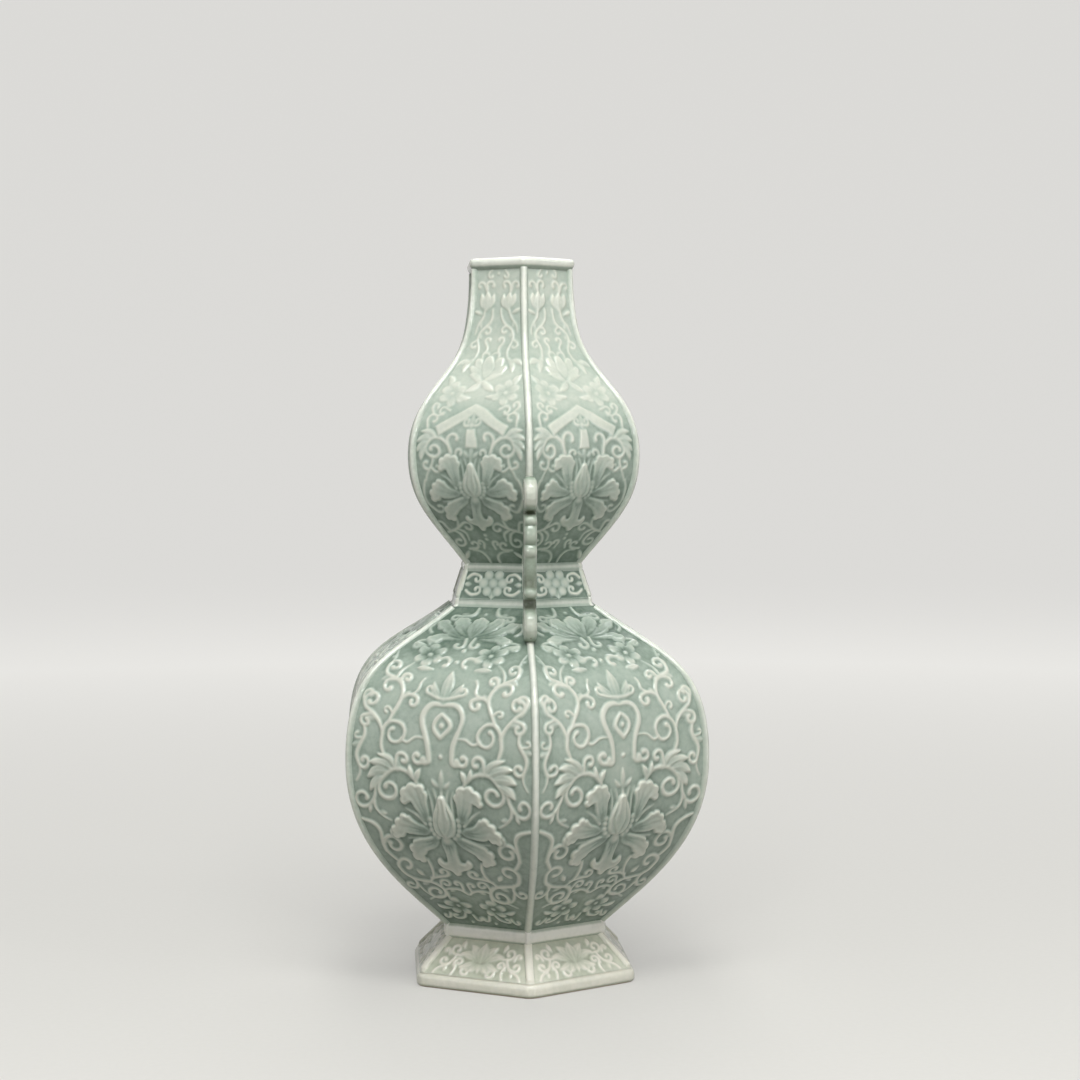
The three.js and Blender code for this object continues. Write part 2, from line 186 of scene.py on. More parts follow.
# Glaze: below 0 it pools green, and near 1 it has run thin and pale
GROUND_LIE = 0.26
LINE_PALE = 0.2
EDGE_PALE = 0.35
EDGE_REACH = 1.2
STANDING_PALE = [(2.4, 0.5), (6, 0.4)]
PALING = 0.7
PALING_SINK = 0.9
PALING_SOFT = 0.5
GATHER = 0.3
GATHER_REACH = 4
COURSE_GATHER = 0.7
PALE_RISE = 1.4
RIB_PALE = 0.95
RIB_PALE_REACH = 1.3
COURSE_RIB_PALE = 0.5
BAND_PALE = 0.95
FILLET_PALE = 0.6
FOOT_PALE = 0.75
LIP_PALE = 1
BACK_LIE = 0.3
# The collar's glaze is darkened as painted shade, for the shadow under the upper bulb.
COLLAR_PAINTED_SHADE = -0.7
COLLAR_CRISP = 1.6
FOOT_LIE = 0.15
HANDLE_SWELL_PALE = 0.26
HANDLE_EDGE_PALE = 0.25
SCROLL_POOL = 0.6
POOLED = -0.6
EVEN = 0.12

# How the glaze lies on each bulb: share of the height, its lie and how crisp the carving shows in it.
# On the lower bulb the darker bottom with its crisper carving, and the darker shoulder under the waist, are
# painted shade. On the upper bulb the darker underside is painted shade, and the paler shoulder band, where
# the carving shows less, and the paler neck are painted sheen.
LOWER_RUN_AND_PAINTED_SHADE = [(0, -0.5, 1.35), (0.25, -0.12, 1.2), (0.5, 0.05, 1), (0.74, 0.02, 0.9), (0.84, -0.35, 0.75),
             (1, -0.4, 0.75)]
UPPER_RUN_SHADE_AND_SHEEN = [(0, -0.4, 0.95), (0.15, -0.25, 0.85), (0.38, -0.05, 0.8), (0.48, 0.12, 0.75), (0.57, 0.5, 0.4),
             (0.67, 0.55, 0.35), (0.76, 0.36, 0.6), (1, 0.42, 0.6)]
# On the handles: share of the height and lie. The darker bands under the head volute and about the lower tip
# are painted shade.
HANDLE_RUN_AND_SHADE = [(0, 0.1), (0.1, 0.35), (0.19, 0.05), (0.23, -0.3), (0.29, -0.15), (0.33, -0.35), (0.42, -0.15),
              (0.52, 0.25), (0.75, 0.15), (0.79, -0.2), (0.84, 0.45), (1, 0.6)]

# Patterns of the glaze and the biscuit: sizes in millimetres, from how many of them 100 mm hold
CLOUD_SIZE = 100 / 6
MOTTLE_SIZE = 100 / 38
PEEL_SIZE = 100 / 42
SPECKS_APART = 100 / 7
SPECK_SIZE = 0.4
BURN_SIZE = 100 / 6
# The biscuit's grain is finer than this, and is drawn so coarse to show
GRAIN_SIZE = 100 / 90

# How much clouds and mottling change the lie of the glaze, and the share of places that hold a speck
CLOUDING = 0.7
MOTTLING = 0.5
SPECKED = 0.06
SPECK_DARK = 0.55

# Gloss, bumps and light in the glaze and the biscuit
GLOSS_MORE = 0.03
GLOSS_LESS = 0.05
PEEL_STRENGTH = 0.08
PEEL_DEPTH = 0.6
GRAIN_STRENGTH = 0.3
GRAIN_DEPTH = 0.2
LIGHT_DEPTH = 1.2
CERAMIC_IOR = 1.5

# Stage, in metres, with the bend of its paper in steps of some degrees
PAPER_REACH = 5.0
PAPER_BEND = 1.6
PAPER_HIGH = 5.0
PAPER_COLUMNS = 48
PAPER_BEND_STEP = 6
WORLD_GLOW = 0.1

# The paper's own brightness, near the vase and far from it, at distances in metres
PAPER_GLOW = 0.42
FAR_PAPER_GLOW = 0.75
PAPER_NEAR = 0.2
PAPER_FAR = 1.8
# Its tooth in millimetres is finer than this, and is drawn so coarse to show
PAPER_TOOTH = 100 / 30

# Name, place, level of the aim on the vase's axis, size and watts
SOFTBOXES = [
    ("overhead_softbox", (-0.03, 0, 1.15), 0.2, (1.4, 0.25), 4.5),
    ("high_front_softbox", (0, -0.75, 1.2), 0.25, (0.9, 0.4), 13),
    ("front_softbox_left", (-0.45, -1.5, 0.7), 0.2, (0.15, 0.15), 2.2),
    ("front_softbox_right", (0.25, -1.5, 0.7), 0.2, (0.15, 0.15), 2.2),
    ("right_softbox", (1.5, -1.1, 0.7), 0.2, (0.4, 1.0), 5.5),
    ("left_softbox", (-1.5, -1.0, 0.7), 0.2, (0.4, 1.0), 1.5),
    ("rear_softbox", (0.3, 1.6, 1.9), 0.2, (1.4, 0.8), 12),
]

# The camera's place in millimetres, its angles in degrees and its lens
CAMERA_PLACE = (-74.7, -1139.6, 273.1)
CAMERA_TILT = 87.93
CAMERA_PAN = -4.26
CAMERA_ROLL = -0.15
CAMERA_LENS = 71.13


# Curves

def spline(points, step):
    """Points about a step apart along the natural cubic curve through a few chosen ones."""
    knots = np.array(points, float)
    count = len(knots)
    travel = np.r_[0, np.cumsum(np.hypot(*np.diff(knots, axis=0).T))]
    gap = np.diff(travel)
    system = np.eye(count)
    pull = np.zeros_like(knots)
    for i in range(1, count - 1):
        system[i, i - 1:i + 2] = gap[i - 1], 2 * (gap[i - 1] + gap[i]), gap[i]
        pull[i] = 6 * ((knots[i + 1] - knots[i]) / gap[i] - (knots[i] - knots[i - 1]) / gap[i - 1])
    bend = np.linalg.solve(system, pull)
    at = np.linspace(0, travel[-1], max(2, math.ceil(travel[-1] / step) + 1))
    i = np.clip(np.searchsorted(travel, at, side="right") - 1, 0, count - 2)
    span = gap[i][:, None]
    after = (travel[i + 1] - at)[:, None]
    before = (at - travel[i])[:, None]
    cubic = (bend[i] * after ** 3 + bend[i + 1] * before ** 3) / (6 * span)
    from_last = (knots[i] / span - bend[i] * span / 6) * after
    to_next = (knots[i + 1] / span - bend[i + 1] * span / 6) * before
    return cubic + from_last + to_next


def curled(path, radius, turn):
    """The path, wound on into a spiral that starts with the given radius. A positive turn winds left."""
    start = math.atan2(*(path[-1] - path[-2])[::-1])
    sweep = math.radians(turn)
    steps = max(CURL_STEPS, int(abs(sweep) * radius / PATH_STEP))
    share = (np.arange(steps) + 0.5) / steps
    heading = start + sweep * share
    stride = radius * (1 - CURL_CLOSING * share) * abs(sweep) / steps
    walk = np.cumsum(np.c_[np.cos(heading), np.sin(heading)] * stride[:, None], axis=0)
    return np.r_[path, path[-1] + walk]


def travelled(path):
    """How far along a path each of its points is."""
    return np.r_[0, np.cumsum(np.hypot(*np.diff(path, axis=0).T))]


def smoothstep(x):
    """A soft rise from 0 to 1."""
    x = np.clip(x, 0, 1)
    return x * x * (3 - 2 * x)


# Strokes of the carving: across a face from its middle line, and up it from its lower edge

def stroke(path, half, high, crown=0.0, rim=0.0, base=1.0, veins=0, groove=0.0):
    """One mark of the carver: its line, its half width along it, and the form of its surface.
    The crown falls to the edges, the rim lifts them, and the base is the height at the line's start."""
    return [dict(path=path, half=np.maximum(half, LINE_LEAST), high=high, crown=crown, rim=rim, base=base,
                 veins=veins, groove=groove)]


def vine(*points, curl=0, turn=0, wide=LINE_WIDE, start=0.8, end=0.75, thorn=True):
    """A rounded line, with a thorn where it is long. A curl winds its end into a spiral with a round bud."""
    path = spline(points, PATH_STEP)
    stem = len(path)
    if curl:
        path = curled(path, curl * CURL_OPEN, turn)
    share = np.linspace(0, 1, len(path))
    half = wide / 2 * (start + (1 - start) * smoothstep(share / LINE_SWELL))
    half *= 1 - (1 - end) * share
    if curl:
        left = travelled(path)[-1] - travelled(path)
        half *= 1 + BUD_SWELL * smoothstep(1 - left / (BUD_LONG * wide))
    marks = stroke(path, half, LINE_HIGH, crown=LINE_CROWN)
    if thorn and stem * PATH_STEP > THORN_EVERY:
        at = stem // 2
        heading = math.atan2(*(path[at + 1] - path[at])[::-1])
        angle = heading - math.copysign(math.radians(THORN_LEAN), turn or 1)
        tip = path[at] + THORN_LONG * wide * np.array([math.cos(angle), math.sin(angle)])
        marks = leaf(path[at], tip, THORN_WIDE * wide, 0, LINE_HIGH * THORN_HIGH) + marks
    return marks


def dot(u, v, radius):
    """A round boss."""
    line = np.array([[u, v], [u, v + DOT_LONG]])
    return stroke(line, np.full(2, radius), LINE_HIGH * DOT_HIGH, crown=DOT_CROWN)


def petal(points, halves, high=PETAL_HIGH, base=0.45, veins=3, groove=0.75, crown=0.0):
    """A broad dished blade, wide as given at even stations along its curve, rising to its tip."""
    path = spline(points, PATH_STEP)
    stations = spline(np.c_[np.linspace(0, len(path) - 1, len(halves)), halves], 1)
    half = np.interp(np.arange(len(path)), stations[:, 0], stations[:, 1])
    return stroke(path, half, high, crown=crown, rim=0.3, base=base, veins=veins, groove=groove)


def leaf(base, tip, wide, bow=0, high=PETAL_HIGH, veins=1):
    """A pointed blade from base to tip, bowed to its left."""
    base, tip = np.array(base, float), np.array(tip, float)
    along = tip - base
    middle = (base + tip) / 2 + bow * np.array([-along[1], along[0]]) / np.hypot(*along)
    halves = wide / 2 * np.array(LEAF_OUTLINE)
    return petal([base, middle, tip], halves, high, base=0.6, veins=veins, groove=0.5, crown=0.2)


def frond(root, *outline, high=PETAL_HIGH, base=0.3, veins=26, groove=0.8, lobes=0, frill=0.0):
    """A petal with a drawn edge, which leaves its root and comes back to it. It rises away from the root,
    and round lobes frill its far end."""
    edge = spline([root, *outline, root], PATH_STEP)
    reach = np.hypot(*(edge - edge[0]).T)
    ahead = np.gradient(edge, axis=0)
    turn = np.sum(edge[:-1, 0] * edge[1:, 1] - edge[1:, 0] * edge[:-1, 1])
    aside = np.sign(turn) * np.stack([ahead[:, 1], -ahead[:, 0]], -1) / np.hypot(*ahead.T)[:, None]
    wave = np.abs(np.sin(math.pi * lobes * travelled(edge) / travelled(edge)[-1])) ** FRILL_ROUND - FRILL_SINK
    far = smoothstep((reach / reach.max() - FRILL_FROM) / FRILL_FADE)
    edge = edge + aside * (frill * wave * far)[:, None]
    return [dict(path=edge, half=np.zeros(len(edge)), high=high, base=base, veins=veins, groove=groove)]


def slab(*corners):
    """A flat plate with straight sides."""
    ring = np.array([*corners, corners[0]], float)
    sides = []
    for a, b in zip(ring, ring[1:]):
        sides.append(np.linspace(a, b, math.ceil(math.dist(a, b) / PATH_STEP), endpoint=False))
    edge = np.concatenate([*sides, ring[:1]])
    return [dict(path=edge, half=np.zeros(len(edge)), high=LINE_HIGH, base=1, veins=0, groove=0.8)]


def blossom(u, v, radius, petals=5, start=90):
    """A small round flower with a raised eye."""
    centre = np.array([u, v])
    parts = []
    for k in range(petals):
        angle = math.radians(start + 360 * k / petals)
        spoke = radius * np.array([math.cos(angle), math.sin(angle)])
        line = [centre + share * spoke for share in SPOKE]
        parts += petal(line, radius * np.array(SPOKE_OUTLINE), LINE_HIGH, base=0.35, veins=2)
    return parts + dot(u, v, radius * BLOSSOM_EYE)


def lotus(v, scale):
    """The lotus of the two bulbs, seen from the side, with its heart at the given height."""

    def at(*points):
        return [(u * scale, v + up * scale) for u, up in points]

    def mirrored(*points):
        return at(*points, *[(-u, up) for u, up in points[::-1]])

    thin_line = LINE_WIDE * LOTUS_LINE * scale
    frill = LOTUS_FRILL * scale
    below = frond(*at((4.5, -2.5), (8, -1.8), (12, -3), (16.5, -4.6), (20.5, -7), (23, -10.6), (23, -14.6),
                      (21, -18), (17.8, -18.2), (16.4, -15), (13.6, -11.6), (10.4, -9.6), (7, -7.4), (5, -5)),
                  lobes=9, frill=frill)
    foot = frond((0, v - 2 * scale), *mirrored((3.2, -4), (3.4, -10), (3.4, -16), (4.4, -18.6), (6.4, -18.2),
                 (7.8, -16), (9.4, -17.6), (8.4, -21), (5.4, -23.2), (2.6, -24.4), (0.8, -27)))
    beside = vine(*at((9, -2.4), (16, -4), (23, -4.6)), wide=thin_line, end=0.3, thorn=False)
    beside += frond(*at((9, 1), (12, 3.8), (16, 5.4), (19, 8), (22, 9.6), (24.8, 8.6), (27.2, 6.4),
                        (28.8, 3.6), (30.2, 1), (30, -2.2), (28, -4), (26, -3), (24.4, -1.4), (20, -1.8),
                        (15, -1.8), (11, -1)), lobes=11, frill=frill)
    above = vine(*at((11.5, 5), (15.5, 9.8), (21, 13.5)), wide=1.3 * thin_line, end=0.2, thorn=False)
    above += frond(*at((9.8, 6), (8.4, 10), (8.6, 15), (8.4, 20), (9.4, 23.6), (12, 25.4), (15.5, 25.8),
                       (18.8, 25), (21.4, 22.8), (22.6, 19.8), (21.6, 17), (19.2, 16.6), (17.4, 18),
                       (16.4, 15), (14.6, 11), (12.4, 7)), lobes=10, frill=frill)
    flames = vine(*at((5.8, 7), (5.6, 13), (5.8, 18), (7.4, 23.5)), wide=1.2 * thin_line, end=0.2,
                  thorn=False)
    flames += vine(*at((2.4, 12), (2.6, 17.5), (4.4, 24)), wide=1.3 * thin_line, end=0.2, thorn=False)
    bud = frond(*at((0, -2), (4.6, 0), (6.4, 5.5), (5.2, 11.5), (2.8, 17), (1.5, 20), (0.9, 13), (1.2, 5)),
                high=PETAL_HIGH * 1.15, base=0.75)
    bud += frond((0, v - 2 * scale), *mirrored((2.2, 2.5), (3.2, 7.5), (2, 13.5), (0.3, 20.5)),
                 high=PETAL_HIGH * 1.3, base=0.8)
    finial = vine(*at((0, 19), (0, 25)), wide=thin_line, thorn=False)
    finial += leaf(*at((0, 25), (5.2, 28.4)), 2.4 * scale, -0.8 * scale, LINE_HIGH)
    finial += leaf(*at((0, 23.5), (0, 34)), 3 * scale, 0, LINE_HIGH)
    stamens = []
    for u, up in ((4.6, -1.8), (6.8, -0.2), (8, 2.2), (8.4, 5), (8.2, 7.8)):
        stamens += dot(*at((u, up))[0], 1.5 * scale)
    calyx = dot(0, v - 3.6 * scale, 2.8 * scale)
    return below + foot + beside + above + flames + stamens + bud + finial + calyx


LOWER_CARVING = [
    # under the shoulder
    vine((5.5, 207), (6.5, 202.5), (10, 200), (15, 200.5), curl=2.2, turn=-200),
    vine((9, 197.5), (12, 195.5), curl=1.8, turn=200),
    dot(0, 203, 1),
    frond((3, 181.5), (10, 180.4), (16, 179.6), (21, 177.4), (23.4, 180), (19, 183.6), (10, 184.2),
          lobes=7, frill=0.8),
    frond((3, 182), (9, 182.8), (15, 184.8), (20, 188.4), (23.4, 193), (20.6, 195.8), (16.6, 192.8),
          (11, 188.2), lobes=9, frill=1),
    frond((2, 183), (6.4, 185), (11, 189), (14, 195), (11, 198.4), (7.4, 197), (4, 190), lobes=9, frill=1),
    frond((0, 181), (3.2, 185), (5, 190.4), (4, 196), (0.6, 199), (-0.6, 199), (-4, 196), (-5, 190.4),
          (-3.2, 185), lobes=9, frill=0.8),
    vine((2.6, 181.5), (1.8, 177.5), curl=2.6, turn=230),
    vine((20.5, 175.5), (23.5, 179), (27.5, 178.5), curl=2.6, turn=-240),
    vine((24, 186), (26.5, 190), (25, 194), curl=2, turn=220),
    dot(0, 172, 1.4),
    # blossoms over the lyre scroll
    leaf((20, 170), (30, 177), 3.6, 1),
    blossom(17.5, 168.5, 7.2, 6),
    vine((12.5, 164.5), (9, 166), curl=3.4, turn=205),
    leaf((12.5, 158.3), (20.5, 158.7), 2.8),
    dot(0, 163.5, 1.2),
    vine((27, 149.5), (32, 151.8), (36.8, 154.5), (37.4, 158.5), curl=3.1, turn=330),
    vine((37, 157), (35.8, 164), (37, 171), wide=1.3, end=0.4),
    vine((30.5, 151.5), (28.5, 157), (24, 162), wide=1.3, end=0.4),
    vine((28.5, 149.8), (27, 153), curl=2.1, turn=290),
    # scrolls beside the lyre scroll
    vine((31.5, 110.5), (34.2, 117), (34, 123), curl=6, turn=430),
    vine((22.5, 120.5), (19, 118.8), (15, 121), (9, 121.5), wide=1.4, end=0.5, thorn=False),
    vine((30.5, 128.5), (27.6, 134), (25, 140.5), (25.8, 146), (29, 150), (33, 150.6), curl=3, turn=-250),
    vine((25, 140.5), (20.5, 142.8), (17, 142.2), curl=2.6, turn=290),
    vine((20.5, 142.6), (16.3, 145.5), (16, 149), (14.5, 152), wide=1.4, end=0.6),
    vine((28, 133.3), (30, 135.6), curl=1.7, turn=-240, wide=1.4),
    vine((33.9, 122), (35.8, 127.5), (39.5, 132.2), (43.5, 135.5), curl=3.5, turn=400),
    vine((43.5, 135), (46, 140.5), curl=2.5, turn=250),
    vine((40, 132.4), (44, 131.3), curl=2.6, turn=-330),
    vine((44.4, 126.2), (43.9, 121), (46.3, 116), (48, 111.5), (47, 107), curl=2.8, turn=-330),
    vine((47.7, 109), (46.4, 103), (48.8, 97.5), wide=1.4, end=0.5),
    vine((45, 119), (47.6, 118.8), curl=1.6, turn=210, wide=1.3),
    # acanthus over the lotus
    leaf((24, 104), (35.5, 112), 3.6, 1.5),
    leaf((28, 104.5), (40, 107.5), 4.8, 1.2),
    leaf((31, 103), (42, 100.5), 4.8, 1.2),
    leaf((33.5, 100), (40.8, 93.5), 4.2, 1),
    leaf((14.5, 98.5), (11.5, 105.5), 3.2, -0.6),
    leaf((15.5, 100), (17.5, 107), 2.8, -0.5),
    vine((12.5, 96), (16, 101.5), (21.5, 104.3), (28, 103.8), (33.8, 98.6), curl=5, turn=-390, wide=2.4),
    vine((25, 105.5), (24.2, 110), curl=2.7, turn=275),
    # beside and under the lotus
    vine((37.3, 95.5), (38.2, 90), (40.6, 86), curl=4.3, turn=345),
    vine((38.6, 88), (38.4, 83.5), (35.5, 79.8), (30.5, 77.3), wide=2, end=0.3),
    leaf((41, 84.8), (42.5, 80.5), 1.8),
    vine((48, 76.8), (42, 74.3), (38.6, 70), (38.4, 64.5), (38, 58.5), (34.5, 52.6)),
    vine((38.2, 58), (38, 62), curl=4.7, turn=400),
    leaf((31, 67), (31.5, 72), 2.2),
    vine((12.5, 22.5), (13.4, 31.5), (19, 37), (26, 38.2), (32, 41.3), (34.4, 46.5), curl=4.2, turn=300),
    vine((16.5, 36.3), (13.8, 33), (13.3, 29.5), curl=4.5, turn=395),
    vine((15.5, 25.6), (20, 24.6), (25, 21), wide=1.8, end=0.4),
    vine((30, 40), (28, 35.5), (29.5, 31.5), curl=2.5, turn=300),
    vine((27.5, 33), (26, 29), (23, 25), wide=1.8, end=0.4),
    vine((15.5, 54), (14.5, 47), (16, 42), (19, 38), wide=1.8),
    vine((17.5, 40.5), (12, 42.3), (8.5, 42.6), curl=2.4, turn=-300),
    vine((14, 34), (13.2, 37.5), curl=2.5, turn=330, wide=1.8),
    vine((0.6, 29), (4, 32.2), (9, 33), (13.4, 31), wide=1.8),
    vine((2.2, 32.5), (1.9, 36.5), curl=1.7, turn=-250, wide=1.8),
    leaf((24, 45.5), (21.5, 42), 2.2),
    blossom(10, 17.5, 6.4, 5),
    leaf((15.5, 15), (22, 17), 2.6, -0.8),
    vine((9, 11), (11, 7.5), (14, 6.2), curl=1.7, turn=230, wide=1.8),
    vine((17.5, 10), (18.5, 7), curl=1.6, turn=230, wide=1.8),
    vine((4.6, 10), (3.6, 6.5), curl=1.5, turn=-230, wide=1.8),
    dot(0, 8, 1.3),
    dot(7, 3.6, 0.9),
    lotus(71.5, 1.0),
    # a lyre scroll that holds a lozenge, under a trefoil
    vine((0, 138.5), (7, 137.6), (11, 132), (9, 124), (6.8, 116.5), (6.4, 110.5),
         curl=1.6, turn=220, wide=3.1, thorn=False),
    vine((7.8, 108.9), (12, 108.6), curl=2.4, turn=235, wide=2.3),
    vine((0, 133.5), (4.6, 127.5), (0, 121.5), wide=2.2, end=1, thorn=False),
    dot(0, 127.5, 1.5),
    leaf((0.6, 141), (8.5, 150), 4.2, -1.6, LINE_HIGH),
    leaf((0, 140), (0, 157), 5.4, 0, LINE_HIGH),
    vine((0, 141.5), (5, 142), (10, 143.5), curl=1.9, turn=250, wide=1.9),
    dot(0, 112.3, 1.2),
]

UPPER_CARVING = [
    # neck
    dot(0, 168.6, 0.8),
    vine((4, 170.5), (5.5, 168.6), curl=1.4, turn=-220, wide=1.2),
    vine((6.9, 157.5), (6.7, 162), curl=2, turn=235, wide=1.4),
    vine((7, 158.5), (8, 162.3), curl=1.8, turn=-235, wide=1.4),
    leaf((6, 150), (3, 157.6), 3.6, 0.6),
    leaf((7, 150), (10, 157.6), 3.6, -0.6),
    leaf((6.5, 149.8), (6.5, 158.4), 4.4),
    leaf((9, 147.2), (13.2, 149.2), 1.7),
    vine((2.4, 149.6), (3, 144.5), (5.6, 141.2), (9, 138.2), (10.4, 133.5), (8.8, 127.5), (10, 121.5),
         wide=1.4),
    vine((8.6, 138.6), (7.4, 139.7), curl=2.1, turn=280, wide=1.4),
    vine((7, 149.4), (8.2, 145), (11.3, 141), (12.5, 136.5), wide=1.4, end=0.5),
    vine((10.3, 133), (12.6, 131.7), curl=1.7, turn=-230, wide=1.3),
    vine((3.8, 120.8), (4.9, 124.5), (3.4, 127.8), (5, 131), curl=1.7, turn=225, wide=1.4),
    vine((4.6, 125.3), (2, 125.7), (0.7, 124.4), wide=1.2),
    petal([(1.2, 112.5), (4.6, 117), (6.2, 120.5)], [1, 2.6, 1.8]),
    petal([(1.5, 112.5), (6.5, 113.5), (9, 116)], [1, 2, 1.3]),
    petal([(0, 111.5), (0, 117), (0, 121.5)], [1.4, 3.2, 2.2]),
    leaf((10.2, 121.5), (14.3, 113.5), 2.6, 0.8),
    leaf((11.8, 120), (18.5, 118.4), 2.6, 1.2),
    # blossoms over the chime
    leaf((0.6, 107), (9.5, 112), 3.2, 1),
    leaf((0.6, 107.5), (7.5, 100.8), 3.4, -0.8),
    leaf((18, 103), (21, 111), 3.2, 1),
    blossom(15, 99.5, 6.6, 6),
    leaf((10.5, 98), (4.5, 97), 2.4, 0.6),
    vine((25.6, 79.5), (26.2, 83.5), curl=2.9, turn=290, wide=1.5),
    vine((22.8, 87.3), (24.6, 90), curl=2, turn=265, wide=1.5),
    vine((13.8, 89.5), (16.5, 91), curl=2, turn=-270, wide=1.5),
    vine((20.5, 86.5), (17.5, 87), wide=1.3),
    # acanthus
    leaf((19.5, 74.5), (29, 78), 3, 1),
    leaf((22.5, 74), (31, 73), 3.4, 1),
    leaf((24.5, 72.3), (30.6, 67.8), 3.2, 0.8),
    leaf((25.3, 70), (29, 62.8), 3, 0.7),
    vine((11.2, 65.5), (13.4, 71.3), (18, 74.5), (23, 73.2), (25, 69.8), curl=3.7, turn=-385, wide=2),
    vine((12, 66), (12.8, 72.6), curl=3, turn=225, wide=1.8),
    vine((9.3, 62.5), (9, 66.3), curl=1.8, turn=230, wide=1.4),
    vine((22, 64.6), (22.3, 60.5), (24.3, 56.5), (25.7, 52), wide=1.5, end=0.5),
    vine((22.7, 59), (20.6, 57.2), curl=1.8, turn=-260, wide=1.4),
    vine((23.6, 57.6), (26, 58.3), curl=1.6, turn=210, wide=1.4),
    vine((26.4, 52), (28.2, 46), (26.8, 39), (24, 35.3), curl=2.3, turn=-270, wide=1.3),
    # under the lotus
    vine((21.5, 21), (15.5, 23.4), (11, 26.6), curl=2.6, turn=300, wide=1.5),
    vine((15, 23.6), (13.2, 28), (13.6, 33.5), wide=1.2),
    vine((15.3, 23), (11.2, 20), (10.6, 15.5), wide=1.4, end=0.5),
    vine((18.5, 22.4), (15, 20), (13.3, 16), curl=2.9, turn=335, wide=1.5),
    vine((20, 22), (21.5, 27), curl=2, turn=-250, wide=1.3),
    vine((12.5, 9.3), (8.8, 9.6), curl=2.3, turn=-260, wide=1.4),
    vine((2.6, 0.5), (3.1, 5), (6, 8), (10.5, 8.4), wide=1.4, end=0.5),
    vine((3.4, 10.5), (2.6, 13), curl=1.6, turn=-260, wide=1.3),
    leaf((13.5, 7.5), (16.5, 3), 2.2),
    dot(0, 19.6, 0.9),
    dot(0, 16.6, 0.9),
    lotus(44.5, 0.8),
    # the chime with its bow and tassel
    slab((0, 92.6), (21.2, 80), (18.4, 75.4), (0, 86.4), (-9, 81), (-9, 87.2)),
    slab((-2.2, 78.5), (2.2, 78.5), (3.4, 69), (-3.4, 69)),
    vine((0, 80.5), (2.6, 80.4), curl=1.7, turn=300, wide=1.5),
    leaf((0, 79), (0, 86.5), 2.6, 0, LINE_HIGH),
    dot(0, 80.6, 1.3),
]

COLLAR_CARVING = [
    leaf((0, 5), (0, 0.4), 4.4, 0, LINE_HIGH),
    dot(5.4, 9, 3.1),
    dot(2.9, 13.3, 3),
    dot(3, 4.8, 2.9),
    dot(0, 9, 3.1),
    vine((15.5, 11.4), (12.2, 13.7), (9.2, 13.3), curl=1.8, turn=275, wide=1.7),
    vine((15.5, 4.9), (12.2, 2.8), (8.8, 3.1), curl=1.8, turn=-275, wide=1.7),
    leaf((12.6, 8.3), (16.6, 8.3), 2.4, 0, LINE_HIGH),
]

FOOT_CARVING = [
    vine((9, 13.4), (12.5, 12.7), (15.4, 12.9), curl=2.5, turn=335, wide=FOOT_LINE),
    vine((14.4, 12.8), (16.2, 9), (19, 6), (22.6, 4.4), (25, 1.4), wide=FOOT_LINE, end=0.6),
    vine((14.8, 6.6), (14.2, 9), curl=1.8, turn=305, wide=FOOT_LINE),
    vine((14.9, 8.6), (13.6, 5), (14.8, 1), wide=FOOT_LINE, end=0.5),
    vine((17.4, 7.4), (19.6, 6.6), curl=2, turn=290, wide=FOOT_LINE),
    vine((18.7, 12.6), (19.4, 15), curl=1.2, turn=-240, wide=FOOT_LINE),
    leaf((11.4, 17.2), (12.2, 21), 2.4, -0.4),
    vine((9.6, 5.8), (9.3, 3.6), curl=1.9, turn=-250, wide=FOOT_LINE),
    leaf((1.5, 9.6), (11.2, 5.8), 4.2, -0.8, FOOT_PETAL_HIGH),
    leaf((1, 9.3), (5.2, 3.6), 3.4, -0.6, FOOT_PETAL_HIGH),
    leaf((0, 9.3), (0, 3.5), 3, 0, FOOT_PETAL_HIGH),
    leaf((2, 10.2), (12.4, 13.8), 4.4, 1.2, FOOT_PETAL_HIGH),
    leaf((1.2, 10.4), (7.4, 19), 5, 0.8, FOOT_PETAL_HIGH),
    leaf((0, 10.2), (0, 20.5), 6, 0, FOOT_PETAL_HIGH),
]


def blurred(grid, reach):
    """The grid softened over the given millimetres. Its left edge is the face's middle line."""
    radius = math.ceil(BLUR_SPAN * reach / PITCH)
    weights = np.exp(-0.5 * (np.arange(-radius, radius + 1) * PITCH / reach) ** 2)
    weights /= weights.sum()
    for axis in (0, 1):
        pads = [(0, 0), (0, 0)]
        pads[axis] = (radius, radius)
        padded = np.pad(grid, pads, mode="reflect")
        grid = np.apply_along_axis(np.convolve, axis, padded, weights, "valid")
    return grid


def line_surface(mark, path, across, up):
    """How far points lie inside a line's edge, how high its surface stands there, and how far up its rise
    they are."""
    away = (across[..., None] - path[:, 0]) ** 2 + (up[..., None] - path[:, 1]) ** 2
    nearest = away.argmin(-1)
    distance = np.sqrt(away.min(-1))
    half = mark["half"].astype(np.float32)[nearest]
    ahead = np.gradient(path, axis=0)[nearest]
    side = ahead[..., 0] * (up - path[nearest, 1]) - ahead[..., 1] * (across - path[nearest, 0])
    side = side / (np.hypot(ahead[..., 0], ahead[..., 1]) * half)
    share = np.clip(distance / half, 0, 1)
    along = mark["base"] + (1 - mark["base"]) * nearest / (len(path) - 1)
    crest = mark["high"] * along * (1 - mark["crown"] * share ** 2 + mark["rim"] * (share ** 4 - RIM_SINK))
    if mark["veins"]:
        crest += VEIN_HIGH * np.cos(2 * math.pi * mark["veins"] * side) * (1 - share ** 2)
    return half - distance, crest, along


